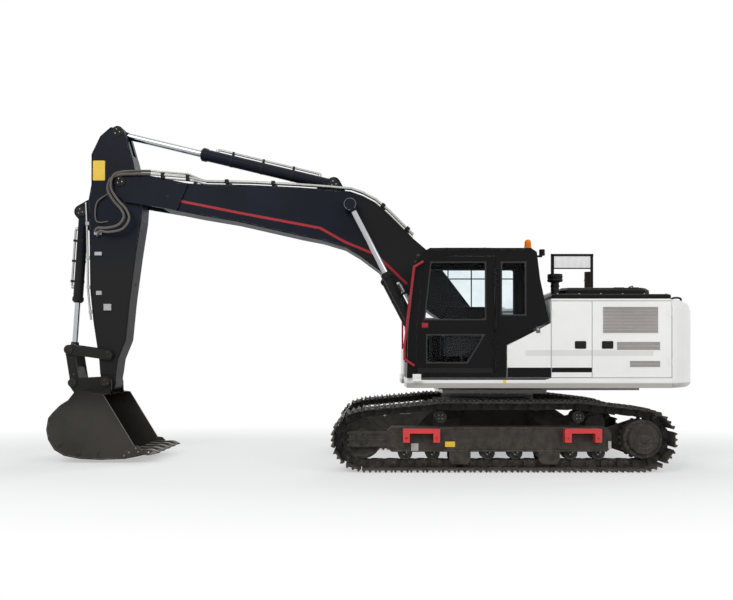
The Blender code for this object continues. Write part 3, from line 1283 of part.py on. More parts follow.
def lugs(pin, feet, inner):
    """Two plates that hold a pin, standing on the feet given, with the pin and its caps."""
    outline, outer = wrap(circle(pin, CLEVIS_RADIUS) + feet), inner + CLEVIS_PLATE
    plates = both(prism(outline, inner, outer))
    caps = both(drum(pin, PIN_CAP_RADIUS, outer - SINK, outer + PIN_CAP))
    return plates + caps + [drum(pin, PIN_RADIUS, -outer - GAP, outer + GAP)]


def over_boom(share, stand):
    """Place above the boom's top edge, at this share of its length."""
    for (u0, v0), (u1, v1) in zip(BOOM_TOP_SHARES, BOOM_TOP_SHARES[1:]):
        if share <= u1:
            break
    level = v0 + (v1 - v0) * (share - u0) / (u1 - u0)
    return along(FOOT_PIN, BOOM_DEG, share * BOOM_LENGTH, level * BOOM_LENGTH + stand)


def boom_pipes():
    """Steel pipes along both edges of the boom's back, with their clamps."""
    solids = []
    for side in (-1, 1):
        y = side * PIPE_ACROSS
        run = [over_boom(u, PIPE_STAND) for u, v in BOOM_TOP_SHARES[1:]]
        solids.append(pipe_run([(x, y, z) for x, z in run], PIPE_RADIUS, 8))
        for u in BOOM_CLAMP_SHARES:
            (x0, z0), (x1, z1) = over_boom(u, -SINK), over_boom(u, PIPE_STAND)
            solids.append(bar((x0, y, z0), (x1, y, z1), PIPE_CLAMP, 6))
    return solids


def make_boom():
    end = 1 - BOOM_FORK / BOOM_LENGTH
    foot = BOOM_FOOT_RADIUS / BOOM_LENGTH
    tip = [(end, BOOM_TIP_SHARES[0]), (end, BOOM_TIP_SHARES[1])]
    side = on_boom([(0, foot), *BOOM_TOP_SHARES, *tip, *BOOM_LOW_SHARES, (0, -foot)])
    hollow = inset(on_boom([*BOOM_TOP_SHARES, *tip, *BOOM_LOW_SHARES]), BOOM_PLATE)
    fork = wrap(circle(ARM_PIN, BOOM_EAR_RADIUS) + on_boom(BOOM_FORK_SHARES))
    solids = [prism(side, -BOOM_HALF, BOOM_HALF),
              drum(FOOT_PIN, BOOM_FOOT_RADIUS, -BOOM_FOOT_HALF, BOOM_FOOT_HALF),
              *both(prism(fork, BOOM_EAR_IN, BOOM_EAR_OUT)),
              drum(ARM_PIN, PIN_RADIUS, -BOOM_EAR_OUT - GAP, BOOM_EAR_OUT + GAP),
              *both(drum(ARM_PIN, PIN_CAP_RADIUS, BOOM_EAR_OUT - SINK,
                         BOOM_EAR_OUT + PIN_CAP)),
              *both(drum(LIFT_EYE_PIN, LIFT_BOSS_RADIUS, BOOM_HALF - BOOM_PLATE / 2,
                         LIFT_TRACK - LIFT_EYE - PLAY)),
              *lugs(CROWD_PIN, on_boom(CROWD_FEET_SHARES), CROWD_CLEVIS),
              *boom_pipes()]
    inside = BOOM_HALF - BOOM_PLATE
    start, stop = (along(FOOT_PIN, BOOM_DEG, BOOM_LENGTH * end + reach, 0)
                   for reach in (-OVERRUN * 2, OVERRUN))
    add("boom", "boom", "frame black", solids,
        [prism(hollow, -inside, inside),
         drum(FOOT_PIN, bore(PIN_RADIUS), -BOOM_FOOT_HALF - OVERRUN, BOOM_FOOT_HALF + OVERRUN),
         bar((start[0], 0, start[1]), (stop[0], 0, stop[1]), BOOM_PLATE * 2)])


def make_arm():
    side = on_arm([*ARM_FRONT_SHARES, *ARM_REAR_SHARES])
    hollow = inset(on_arm([*ARM_FRONT_SHARES[4:7], *ARM_REAR_SHARES[2:6]]), ARM_PLATE)
    slot_edge, slot_end = -ARM_SLOT, -ARM_LENGTH / 2
    slot = [along(ARM_PIN, ARM_DEG, u, v) for u, v in
            ((slot_edge, -ARM_LENGTH), (slot_edge, ARM_LENGTH), (slot_end, ARM_LENGTH),
             (slot_end, -ARM_LENGTH))]
    head = wrap(circle(CROWD_EYE_PIN, HEAD_RADIUS) + circle(ARM_PIN, ARM_BOSS_RADIUS))
    solids = [prism(side, -ARM_HALF, ARM_HALF),
              prism(head, -ARM_HALF + SINK, ARM_HALF - SINK),
              drum(ARM_PIN, ARM_BOSS_RADIUS, -ARM_BOSS_HALF, ARM_BOSS_HALF),
              drum(BUCKET_PIN, TIP_RADIUS, -TIP_HALF, TIP_HALF),
              *lugs(DIG_PIN, on_arm(DIG_FEET_SHARES), DIG_CLEVIS)]
    solids += both(drum(CROWD_EYE_PIN, PIN_CAP_RADIUS, ARM_HALF - SINK,
                        ARM_HALF + PIN_CAP / 2))
    inside = ARM_HALF - ARM_PLATE
    cuts = [prism(hollow, -inside, inside), prism(slot, -ARM_SLOT_HALF, ARM_SLOT_HALF)]
    for pin in (ARM_PIN, BUCKET_PIN, TIPPING_PIN):
        cuts.append(drum(pin, bore(PIN_RADIUS), -ARM_HALF - OVERRUN, ARM_HALF + OVERRUN))
    start, stop = (along(ARM_PIN, ARM_DEG, ARM_LENGTH / 2, v) for v in (-ARM_LENGTH, 0))
    cuts.append(bar((start[0], 0, start[1]), (stop[0], 0, stop[1]), ARM_PLATE))
    trim = TIP_HALF
    cuts += both(box((BUCKET_PIN[0] - ARM_HALF * 2, BUCKET_PIN[0] + ARM_HALF * 2),
                     (trim, ARM_HALF + OVERRUN),
                     (BUCKET_PIN[1] - ARM_HALF * 2, BUCKET_PIN[1] + TIP_RADIUS)))
    add("arm", "arm", "frame black", solids, cuts)


def make_links():
    plate = wrap(circle(TIPPING_PIN, TIPPING_RADIUS) + circle(LINK_PIN, TIPPING_RADIUS))
    solids = both(prism(plate, TIPPING_IN, TIPPING_OUT))
    solids += both(drum(TIPPING_PIN, TIPPING_RADIUS - SINK, ARM_HALF + PLAY, TIPPING_IN + SINK))
    solids.append(drum(TIPPING_PIN, PIN_RADIUS, -TIPPING_OUT - PLAY, TIPPING_OUT + PLAY))
    for pin in (TIPPING_PIN, LINK_PIN):
        solids += both(drum(pin, PIN_CAP_RADIUS * PIN_HEAD_SHARE, TIPPING_OUT - SINK,
                            TIPPING_OUT + PLAY * 3 / 2))
    solids += both(drum(LINK_PIN, PIN_RADIUS, LINK_IN, TIPPING_IN + SINK))
    add("tipping_links", "tipping_links", "digging steel", solids)
    ear = wrap(circle(LINK_PIN, LINK_RADIUS) + circle(EAR_PIN, LINK_RADIUS))
    low = between(LINK_PIN, EAR_PIN, LINK_SOLID_SHARE)
    web = wrap(circle(low, LINK_RADIUS * PIN_HEAD_SHARE) + circle(EAR_PIN, LINK_RADIUS))
    pin_end = BUCKET_EAR_IN - PLAY
    add("bucket_link", "bucket_link", "digging steel",
        [*both(prism(ear, LINK_IN, LINK_OUT)), prism(web, -LINK_OUT + PLAY, LINK_OUT - PLAY),
         drum(EAR_PIN, PIN_RADIUS, -pin_end, pin_end)],
        [drum(LINK_PIN, bore(PIN_RADIUS), -TIPPING_OUT, TIPPING_OUT)])


def on_bucket(shares):
    return [(BUCKET_PIN[0] + x * BUCKET_SIZE, BUCKET_PIN[1] + z * BUCKET_SIZE)
            for x, z in shares]


def make_bucket():
    side = on_bucket(BUCKET_SHARES)
    inner = inset(side, BUCKET_SHELL)
    mouth = on_bucket(BUCKET_MOUTH_SHARES)
    hollow = inner[1:-1] + mouth
    ear = wrap(circle(BUCKET_PIN, BUCKET_EAR_RADIUS) + circle(EAR_PIN, LINK_RADIUS)
               + on_bucket(BUCKET_EAR_SHARES))
    inside = BUCKET_HALF - BUCKET_CHEEK
    shell = fuse([prism(side, -BUCKET_HALF, BUCKET_HALF)], [prism(hollow, -inside, inside)])
    solids = [shell,
              *both(prism(ear, BUCKET_EAR_IN, BUCKET_EAR_OUT)),
              drum(BUCKET_PIN, PIN_RADIUS, -BUCKET_EAR_OUT - GAP, BUCKET_EAR_OUT + GAP)]
    for pin in (BUCKET_PIN, EAR_PIN):
        solids += both(drum(pin, PIN_CAP_RADIUS * PIN_HEAD_SHARE, BUCKET_EAR_OUT - SINK,
                            BUCKET_EAR_OUT + PIN_CAP))
    corner = side[-1]
    lip = [(corner[0] + x * LIP_THICK, corner[1] + z * LIP_THICK) for x, z in LIP_SHARES]
    solids.append(prism(lip, -BUCKET_HALF - SINK, BUCKET_HALF + SINK))
    for i in range(TOOTH_COUNT):
        y = (BUCKET_HALF - TOOTH_HALF) * (2 * i / (TOOTH_COUNT - 1) - 1)
        solids.append(hull(tooth_points(corner, y)))
    add("bucket", "bucket", "digging steel", solids)


def tooth_points(corner, y):
    points = []
    for reach, low, high, wide in TOOTH_SHARES:
        for z in (low, high):
            for side in (-1, 1):
                points.append((corner[0] + reach * TOOTH_LENGTH, y + side * wide * TOOTH_HALF,
                               corner[1] + LIP_THICK + z * TOOTH_THICK))
    return points


def main():
    clear_scene()
    make_paints()
    door_edge = cab_place(DOOR_SHARES[-1])[0]
    for body, parent, x, z in (
            ("undercarriage", None, 0, 0),
            ("upper", "undercarriage", 0, CARBODY_HIGH + RING_HEIGHT),
            ("boom", "upper", *FOOT_PIN),
            ("boom_cylinder_barrels", "upper", *LIFT_PIN),
            ("boom_cylinder_rods", "boom_cylinder_barrels", *LIFT_EYE_PIN),
            ("arm_cylinder_barrel", "boom", *CROWD_PIN),
            ("arm_cylinder_rod", "arm_cylinder_barrel", *CROWD_EYE_PIN),
            ("arm", "boom", *ARM_PIN),
            ("bucket_cylinder_barrel", "arm", *DIG_PIN),
            ("bucket_cylinder_rod", "bucket_cylinder_barrel", *LINK_PIN),
            ("tipping_links", "arm", *TIPPING_PIN),
            ("bucket_link", "tipping_links", *LINK_PIN),
            ("bucket", "arm", *BUCKET_PIN)):
        make_axis(body, parent, x, z)
    for body, x, y, z in (("cab_door", door_edge + PLAY, -CAB_OUT - HINGE_OUT, CAB_FLOOR),
                          ("battery_door", BATTERY_FRONT + DOOR_PLAY / 2, -CAB_OUT, DECK_HIGH),
                          ("filter_door", HOUSE_FRONT + DOOR_PLAY / 2, -CAB_OUT, DECK_HIGH),
                          ("cooler_door", WEIGHT_FRONT - DOOR_PLAY * 3 / 2, -CAB_OUT, DECK_HIGH),
                          ("pump_door", HOUSE_FRONT + DOOR_PLAY / 2, CAB_OUT, DECK_HIGH),
                          ("engine_hood", HOOD_FRONT, 0, COVER_HIGH + GAP)):
        make_axis(body, "upper", x, z, y)
    make_tracks()
    make_track_frames()
    make_tumblers()
    make_carbody()
    make_swing_frame()
    make_counterweight()
    make_cab()
    make_station()
    make_cab_fittings()
    make_house()
    make_doors()
    make_power_pack()
    make_tanks()
    make_boom()
    make_arm()
    make_rams()
    make_links()
    make_bucket()


main()
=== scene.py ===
# %% [markdown]
# # A crawler excavator, dressed for its picture
#
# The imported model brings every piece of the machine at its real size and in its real
# place. This script adds what the eye looks for next: paint, rubber, chrome and glass,
# the shoes and bolts of the tracks, grilles, hoses, lamps, and a seat to sit on.
# Lengths are metres. The machine faces -X, and its cab is on the -Y side.

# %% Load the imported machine
import json
import math

import bmesh
import bpy
from mathutils import Matrix, Vector


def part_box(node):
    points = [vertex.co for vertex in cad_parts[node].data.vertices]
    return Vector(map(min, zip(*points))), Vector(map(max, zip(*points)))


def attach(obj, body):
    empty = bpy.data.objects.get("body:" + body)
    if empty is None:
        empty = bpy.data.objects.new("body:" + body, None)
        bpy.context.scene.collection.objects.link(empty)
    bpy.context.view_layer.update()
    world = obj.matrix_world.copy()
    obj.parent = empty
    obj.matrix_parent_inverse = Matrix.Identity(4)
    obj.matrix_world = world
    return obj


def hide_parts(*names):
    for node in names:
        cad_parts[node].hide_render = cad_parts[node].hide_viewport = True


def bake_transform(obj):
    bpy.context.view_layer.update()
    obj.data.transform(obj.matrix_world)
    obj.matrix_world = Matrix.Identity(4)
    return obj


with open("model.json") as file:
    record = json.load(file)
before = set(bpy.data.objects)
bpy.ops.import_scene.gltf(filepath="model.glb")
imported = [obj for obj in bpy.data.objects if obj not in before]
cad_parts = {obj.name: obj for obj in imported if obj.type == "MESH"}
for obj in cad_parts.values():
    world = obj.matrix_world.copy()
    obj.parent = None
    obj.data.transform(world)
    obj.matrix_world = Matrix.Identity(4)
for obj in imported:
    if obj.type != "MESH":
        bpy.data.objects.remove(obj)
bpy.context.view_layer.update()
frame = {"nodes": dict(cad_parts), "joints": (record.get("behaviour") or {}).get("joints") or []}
nodes = frame["nodes"]
pins = {joint["name"]: Vector(joint["pos_m"]) for joint in frame["joints"] if "pos_m" in joint}

# %% [markdown]
# ## The camera
#
# The photograph was taken from the machine's left, at about the height of a person's
# chest. Three things fix such a view: where the camera stands, how long its lens is,
# and how far the picture is shifted in its frame. The shift moves the picture without
# tilting the camera, so upright edges stay upright, as they do in the photograph.

# %% Camera
PHOTO_WIDE = 733
PHOTO_TALL = 600
LENS_PX = 758
SIGHT_PX = (373, 358)
CAMERA_PLACE = (0.02, -11.2, 1.47)
SENSOR = 36.0


def make_camera():
    data = bpy.data.cameras.new("view")
    data.sensor_width = SENSOR
    data.lens = LENS_PX * SENSOR / PHOTO_WIDE
    data.shift_x = (PHOTO_WIDE / 2 - SIGHT_PX[0]) / PHOTO_WIDE
    data.shift_y = (SIGHT_PX[1] - PHOTO_TALL / 2) / PHOTO_WIDE
    camera = bpy.data.objects.new("view", data)
    camera.location = CAMERA_PLACE
    camera.rotation_euler = (math.pi / 2, 0, 0)
    bpy.context.scene.collection.objects.link(camera)
    bpy.context.scene.camera = camera
    return camera


camera = make_camera()
print("lens", round(camera.data.lens, 1), "mm")

# %% [markdown]
# ## Light, floor and background
#
# The machine stands in plain soft daylight on a white ground. A big pale sky lights it
# from everywhere, and one broad lamp in front and above gives the paint its highlights.
# The background is white because of its colour as the camera, metal and glass see it,
# not because of more light: the Light Path node tells those rays from the others.

# %% Sky, lamps and floor
SKY_LIGHT = 0.50
LAMPS = (
    # name, place, power, width
    ("key", (-6.0, -13.0, 11.0), 900, 7.0),
    ("fill", (9.0, -9.0, 6.0), 300, 6.0),
    ("back", (3.0, 11.0, 9.0), 420, 6.0),
)
FLOOR_COLOUR = (0.9, 0.9, 0.9)
FLOOR_HALF = 90.0


def rgb(*parts):
    return (*parts, 1.0)


def shader_node(tree, kind, *inputs, **settings):
    """A new node whose first inputs are set to values or linked to sockets."""
    made = tree.nodes.new("ShaderNode" + kind)
    for name, value in settings.items():
        setattr(made, name, value)
    for socket, value in zip(made.inputs, inputs):
        if isinstance(value, bpy.types.NodeSocket):
            tree.links.new(value, socket)
        elif value is not None:
            socket.default_value = value
    return made


def sums(tree, operation, first, second=None):
    return shader_node(tree, "Math", first, second, operation=operation).outputs[0]


def seen_white(tree):
    """A 0 or 1 that says whether a ray comes from the camera, a mirror or through glass."""
    path = shader_node(tree, "LightPath").outputs
    first = sums(tree, "MAXIMUM", path["Is Camera Ray"], path["Is Glossy Ray"])
    return sums(tree, "MAXIMUM", first, path["Is Transmission Ray"])


def make_sky():
    world = bpy.data.worlds.new("sky")
    world.use_nodes = True
    tree = world.node_tree
    tree.nodes.clear()
    light = shader_node(tree, "Background", rgb(0.96, 0.98, 1.0), SKY_LIGHT)
    white = shader_node(tree, "Background", rgb(1.0, 1.0, 1.0))
    mix = shader_node(tree, "MixShader", seen_white(tree), light.outputs[0],
                      white.outputs[0])
    shader_node(tree, "OutputWorld", mix.outputs[0])
    bpy.context.scene.world = world


def make_lamps():
    for name, place, power, width in LAMPS:
        data = bpy.data.lights.new(name, "AREA")
        data.energy = power
        data.size = width
        lamp = bpy.data.objects.new(name, data)
        lamp.location = place
        aim = Vector((0.0, 0.0, 1.5)) - Vector(place)
        lamp.rotation_euler = aim.to_track_quat("-Z", "Y").to_euler()
        bpy.context.scene.collection.objects.link(lamp)


def make_floor():
    mesh = bpy.data.meshes.new("floor")
    corners = [(x * FLOOR_HALF, y * FLOOR_HALF, 0) for x, y in
               ((-1, -1), (1, -1), (1, 1), (-1, 1))]
    mesh.from_pydata(corners, [], [(0, 1, 2, 3)])
    floor = bpy.data.objects.new("floor", mesh)
    bpy.context.scene.collection.objects.link(floor)
    paint = bpy.data.materials.new("floor_white")
    paint.use_nodes = True
    tree = paint.node_tree
    shader = tree.nodes["Principled BSDF"]
    shader.inputs["Base Color"].default_value = (*FLOOR_COLOUR, 1.0)
    shader.inputs["Roughness"].default_value = 0.9
    shader.inputs["Specular IOR Level"].default_value = 0.2
    mesh.materials.append(paint)
    return floor


make_sky()
make_lamps()
floor = make_floor()
bpy.context.scene.view_settings.view_transform = "Standard"
print("lamps:", len(LAMPS))

# %% [markdown]
# ## Making shapes
#
# Every added piece is built point by point in mesh code. A handful of small makers is
# enough: a block, a turned round, an outline given thickness and a bent tube. Each adds
# its faces to one open shape, so that a hundred bolts end up as one tidy piece. `piece`
# then closes the shape, gives it a paint and ties it to the part of the machine that
# carries it.

# %% Makers of plain forms
SLEW_X = pins["slew"].x
LEFT_MIDDLE = (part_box("track_left")[0].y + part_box("track_left")[1].y) / 2
UP = Vector((0, 0, 1))
THINNEST = 1e-4
SHARP_DEG = 32


def here(x, y, z):
    """A place given from the slewing axis, as X forward or back, Y across and Z up."""
    return Vector((SLEW_X + x, y, z))


def seen(px, py, y):
    """The place at this depth Y that the photograph shows at a pixel."""
    far = (y - CAMERA_PLACE[1]) / LENS_PX
    return Vector((CAMERA_PLACE[0] + (px - SIGHT_PX[0]) * far, y,
                   CAMERA_PLACE[2] - (py - SIGHT_PX[1]) * far))


def slab(shape, low, high, turn=None):
    """A block between two corners, turned about its middle if a rotation is given."""
    low, high = Vector(low), Vector(high)
    middle, half = (low + high) / 2, (high - low) / 2
    corners = []
    for x, y, z in ((-1, -1, -1), (1, -1, -1), (1, 1, -1), (-1, 1, -1),
                    (-1, -1, 1), (1, -1, 1), (1, 1, 1), (-1, 1, 1)):
        offset = Vector((x * half.x, y * half.y, z * half.z))
        if turn:
            offset = turn @ offset
        corners.append(shape.verts.new(middle + offset))
    for a, b, c, d in ((3, 2, 1, 0), (4, 5, 6, 7), (0, 1, 5, 4), (1, 2, 6, 5), (2, 3, 7, 6),
                       (3, 0, 4, 7)):
        shape.faces.new((corners[a], corners[b], corners[c], corners[d]))


def skin(shape, rings, looped=False):
    """Faces from ring to ring of points, with the ends filled, or looped to each other."""
    rows = [[shape.verts.new(point) for point in ring] for ring in rings]
    if looped:
        rows.append(rows[0])
    for first, second in zip(rows, rows[1:]):
        for i in range(len(first)):
            j = (i + 1) % len(first)
            shape.faces.new((first[i], first[j], second[j], second[i]))
    if not looped:
        shape.faces.new(rows[0][::-1])
        shape.faces.new(rows[-1])


def plate(shape, outline, y0, y1):
    """An outline of (x, z) places given thickness from one Y to another."""
    skin(shape, [[Vector((x, y, z)) for x, z in outline] for y in (y0, y1)])


def forms(count):
    """Open shapes, ready to take faces."""
    return [bmesh.new() for _ in range(count)]


def spokes(way, count):
    """Unit steps that point all round an axis."""
    across = way.orthogonal().normalized()
    up = way.cross(across)
    turns = [2 * math.pi * i / count for i in range(count)]
    return [math.cos(turn) * across + math.sin(turn) * up for turn in turns]


def turned(shape, place, way, profile, sides=24):
    """A round piece: (reach, radius) steps along a way from a place."""
    place, way = Vector(place), Vector(way).normalized()
    fan = spokes(way, sides)
    skin(shape, [[place + reach * way + max(radius, THINNEST) * spoke for spoke in fan]
                 for reach, radius in profile])


def hoop(shape, place, way, inner, outer, length, sides=36):
    """A flat band round an axis, open in its middle."""
    fan = spokes(way, sides)
    skin(shape, [[place + spoke * radius + way * reach for spoke in fan]
                 for radius, reach in ((inner, 0), (outer, 0), (outer, length),
                                       (inner, length))], looped=True)


def curve_through(points, steps=6):
    """Places along a smooth curve through the points."""
    points = [Vector(point) for point in points]
    ends = [2 * points[0] - points[1], *points, 2 * points[-1] - points[-2]]
    places = []
    for a, b, c, d in zip(ends, ends[1:], ends[2:], ends[3:]):
        for i in range(steps):
            t = i / steps
            places.append(((2 * b) + (c - a) * t + (2 * a - 5 * b + 4 * c - d) * t ** 2
                           + (3 * b - a - 3 * c + d) * t ** 3) / 2)
    return places + [points[-1]]


def tube(shape, places, radius, sides=12):
    """A round tube along the places."""
    places = [Vector(place) for place in places]
    way = (places[1] - places[0]).normalized()
    across = way.orthogonal().normalized()
    rings = []
    for i, place in enumerate(places):
        ahead = places[min(i + 1, len(places) - 1)] - places[max(i - 1, 0)]
        turn = way.rotation_difference(ahead.normalized())
        across, way = turn @ across, ahead.normalized()
        up = way.cross(across)
        rings.append([place + radius * (math.cos(2 * math.pi * k / sides) * across
                                        + math.sin(2 * math.pi * k / sides) * up)
                      for k in range(sides)])
    skin(shape, rings)


def rounded(corners, radius, steps=4):
    """An outline whose corners are rounded off."""
    outline, count = [], len(corners)
    for i, corner in enumerate(corners):
        corner = Vector(corner)
        before = (Vector(corners[i - 1]) - corner).normalized()
        after = (Vector(corners[(i + 1) % count]) - corner).normalized()
        for k in range(steps + 1):
            t = k / steps
            outline.append(corner + before * radius * (1 - t) ** 2 + after * radius * t ** 2)
    return outline


def piece(name, shape, paint, body=None, bevel=0.0, sharp=SHARP_DEG):
    """The finished piece: closed, painted, edges softened, and riding on its body."""
    bmesh.ops.recalc_face_normals(shape, faces=shape.faces)
    mesh = bpy.data.meshes.new(name)
    shape.to_mesh(mesh)
    shape.free()
    obj = bpy.data.objects.new(name, mesh)
    bpy.context.scene.collection.objects.link(obj)
    mesh.materials.append(paint)
    mesh.shade_smooth()
    mesh.set_sharp_from_angle(angle=math.radians(sharp))
    if bevel:
        soften(obj, bevel)
    if body:
        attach(obj, body)
    return obj


def soften(obj, width):
    """Rounds the hard edges a little, as real plate and castings have them."""
    edge = obj.modifiers.new("edge", "BEVEL")
    edge.width = width
    edge.segments = 2
    edge.limit_method = "ANGLE"
    edge.angle_limit = math.radians(SHARP_DEG)
    edge.harden_normals = True
    edge.use_clamp_overlap = True


print("track middle at Y", round(LEFT_MIDDLE, 3))

# %% [markdown]
# ## Paints and metals
#
# Real paint is never one flat colour. It is a little blotchy over a metre and a little
# rough over a millimetre, dust settles where it faces up, and edges rub bare. One
# function mixes all of that from noise, from the way that the surface faces, and from
# how sharply it bends there. Every finish below is this function with other amounts.

# %% Finishes
DUST = (0.36, 0.32, 0.26, 1.0)
BARE_STEEL = (0.33, 0.32, 0.31, 1.0)
MUD_TOP = 0.95
EDGE_REACH = 0.006


def span(tree, value, low, high, to_low=0.0, to_high=1.0):
    """A value moved from one range to another, and held inside it."""
    return shader_node(tree, "MapRange", value, low, high, to_low, to_high).outputs[0]


def laid_over(tree, share, under, over):
    """One colour laid over another by a share from 0 to 1."""
    mix = tree.nodes.new("ShaderNodeMix")
    mix.data_type = "RGBA"
    for index, value in ((0, share), (6, under), (7, over)):
        if isinstance(value, bpy.types.NodeSocket):
            tree.links.new(value, mix.inputs[index])
        else:
            mix.inputs[index].default_value = value
    return mix.outputs[2]


def noise(tree, place, scale, detail=3.0, rough=0.55):
    made = shader_node(tree, "TexNoise", place, None, scale, detail, rough)
    return made.outputs[0]


def edges_of(tree, reach):
    """Near 1 along outer edges, where a rounded normal leaves the true one."""
    round_way = shader_node(tree, "Bevel", reach, samples=4).outputs[0]
    true_way = shader_node(tree, "NewGeometry").outputs["Normal"]
    same = shader_node(tree, "VectorMath", round_way, true_way, operation="DOT_PRODUCT")
    return span(tree, same.outputs["Value"], 0.995, 0.93)


def finish(name, colour, rough=0.4, metal=0.0, blotch=0.08, grain=0.0, dust=0.2, mud=0.0,
           worn=0.0, worn_colour=BARE_STEEL, fine=70.0, broad=1.3, coat=0.0, sheen=0.0,
           shine=0.5):
    """A painted, cast or rolled surface with the marks that use leaves on it."""
    paint = bpy.data.materials.new(name)
    paint.use_nodes = True
    tree = paint.node_tree
    shader = tree.nodes["Principled BSDF"]
    shader.inputs["Metallic"].default_value = metal
    shader.inputs["Specular IOR Level"].default_value = shine
    if coat:
        shader.inputs["Coat Weight"].default_value = coat
        shader.inputs["Coat Roughness"].default_value = 0.12
    if sheen:
        shader.inputs["Sheen Weight"].default_value = sheen
    spot = shader_node(tree, "TexCoord")
    place = spot.outputs["Object"]
    large = noise(tree, place, broad, 4.0)
    small = noise(tree, place, fine, 2.0)
    middle = noise(tree, place, broad * 9, 5.0, 0.65)
    darker = tuple(c * (1 - blotch) for c in colour[:3]) + (1.0,)
    lighter = tuple(min(1.0, c * (1 + blotch)) for c in colour[:3]) + (1.0,)
    tone = laid_over(tree, span(tree, large, 0.35, 0.65), darker, lighter)
    tone = laid_over(tree, span(tree, middle, 0.62, 0.8, 0, blotch), tone, darker)
    roughness = span(tree, middle, 0.3, 0.7, rough * 0.85, min(1.0, rough * 1.18))
    if worn:
        bare = sums(tree, "MULTIPLY", edges_of(tree, EDGE_REACH),
                    span(tree, middle, 0.42, 0.62, 0, worn))
        tone = laid_over(tree, bare, tone, worn_colour)
    if dust:
        facing = shader_node(tree, "SeparateXYZ", spot.outputs["Normal"]).outputs[2]
        settled = sums(tree, "MULTIPLY", span(tree, facing, 0.2, 1.0, 0, dust),
                       span(tree, middle, 0.3, 0.6, 0.35, 1.0))
        tone = laid_over(tree, settled, tone, DUST)
        roughness = sums(tree, "MAXIMUM", roughness, span(tree, settled, 0, 1, rough, 0.95))
    if mud:
        low = shader_node(tree, "SeparateXYZ", place).outputs[2]
        caked = sums(tree, "MULTIPLY", span(tree, low, MUD_TOP, 0.1, 0, mud),
                     span(tree, middle, 0.36, 0.6))
        tone = laid_over(tree, caked, tone, DUST)
    tree.links.new(tone, shader.inputs["Base Color"])
    tree.links.new(roughness, shader.inputs["Roughness"])
    if grain:
        height = sums(tree, "ADD", small, sums(tree, "MULTIPLY", middle, 1.5))
        bump = shader_node(tree, "Bump", None, 0.004)
        bump.inputs["Strength"].default_value = grain
        tree.links.new(height, bump.inputs["Height"])
        tree.links.new(bump.outputs[0], shader.inputs["Normal"])
    return paint


WHITE_PAINT = rgb(0.82, 0.82, 0.80)
NAVY_PAINT = rgb(0.0065, 0.0085, 0.0160)
BLACK_PAINT = rgb(0.0055, 0.0055, 0.0062)
RED_PAINT = rgb(0.62, 0.035, 0.035)
body_paint = finish("body_paint", WHITE_PAINT, 0.33, dust=0.16, worn=0.25, blotch=0.035,
                    worn_colour=rgb(0.45, 0.44, 0.42), coat=0.25, grain=0.03)
boom_paint = finish("boom_paint", NAVY_PAINT, 0.42, dust=0.10, worn=0.35, blotch=0.2,
                    grain=0.05, shine=0.09)
cab_paint = finish("cab_paint", BLACK_PAINT, 0.40, dust=0.10, worn=0.15, blotch=0.15,
                   grain=0.04, shine=0.09)
frame_paint = finish("frame_paint", rgb(0.030, 0.026, 0.022), 0.65, dust=0.16, mud=0.12,
                     worn=0.3, blotch=0.25, grain=0.25, shine=0.2)
track_steel = finish("track_steel", rgb(0.030, 0.027, 0.024), 0.60, metal=0.3, dust=0.18,
                     mud=0.18, worn=0.6, blotch=0.3, grain=0.5, shine=0.2)
cast_steel = finish("cast_steel", rgb(0.022, 0.020, 0.017), 0.66, metal=0.2, dust=0.14,
                    mud=0.10, worn=0.4, blotch=0.3, grain=0.8, fine=110, shine=0.2)
digging_paint = finish("digging_paint", rgb(0.034, 0.030, 0.025), 0.52, metal=0.15,
                       dust=0.16, worn=0.6, blotch=0.3, grain=0.35, shine=0.25)
tooth_steel = finish("tooth_steel", rgb(0.15, 0.14, 0.13), 0.45, metal=0.8, dust=0.15,
                     worn=0.6, blotch=0.2, grain=0.5, worn_colour=rgb(0.5, 0.49, 0.47))
engine_cast = finish("engine_cast", rgb(0.10, 0.11, 0.12), 0.6, metal=0.3, dust=0.3,
                     worn=0.3, blotch=0.2, grain=0.6)
red_paint = finish("red_paint", RED_PAINT, 0.4, dust=0.1, worn=0.5, blotch=0.1, grain=0.05)
rail_paint = finish("rail_paint", rgb(0.36, 0.014, 0.022), 0.4, dust=0.1, worn=0.2,
                    blotch=0.1, shine=0.25)
print("finishes:", len(bpy.data.materials))

# %% [markdown]
# ## Rubber, plastic, chrome, cloth and glass
#
# The softer and smoother finishes use the same function with the wear turned off. Chrome
# is nearly a mirror, with fine marks along the stroke. Glass lets most light through and
# holds a little blue-grey tint, which is slightly uneven, as its roughness is. The seat
# cloth is a weave: two sets of fine waves crossed over each other, used as a bump.

# %% More finishes
rubber = finish("rubber", rgb(0.020, 0.019, 0.018), 0.72, dust=0.2, grain=0.3, fine=220)
hose_rubber = finish("hose_rubber", rgb(0.105, 0.094, 0.080), 0.6, dust=0.2, grain=0.5,
                     fine=260, blotch=0.2)
grey_plastic = finish("grey_plastic", rgb(0.09, 0.09, 0.095), 0.55, dust=0.15, grain=0.4,
                      fine=320)
black_plastic = finish("black_plastic", rgb(0.010, 0.010, 0.011), 0.5, dust=0.08,
                       grain=0.3, fine=320, shine=0.15)
light_grey = finish("light_grey", rgb(0.42, 0.42, 0.42), 0.5, dust=0.15, grain=0.1)
yellow_plate = finish("yellow_plate", rgb(0.80, 0.52, 0.03), 0.42, dust=0.12, blotch=0.06)
red_lens = finish("red_lens", rgb(0.55, 0.02, 0.02), 0.15, coat=0.8, dust=0.1)
clear_lens = finish("clear_lens", rgb(0.62, 0.64, 0.66), 0.12, metal=0.6, coat=0.8,
                    dust=0.08)
chrome_plate = finish("chrome_plate", rgb(0.46, 0.47, 0.50), 0.15, metal=1.0, dust=0.0,
                      blotch=0.04, fine=400, grain=0.02)
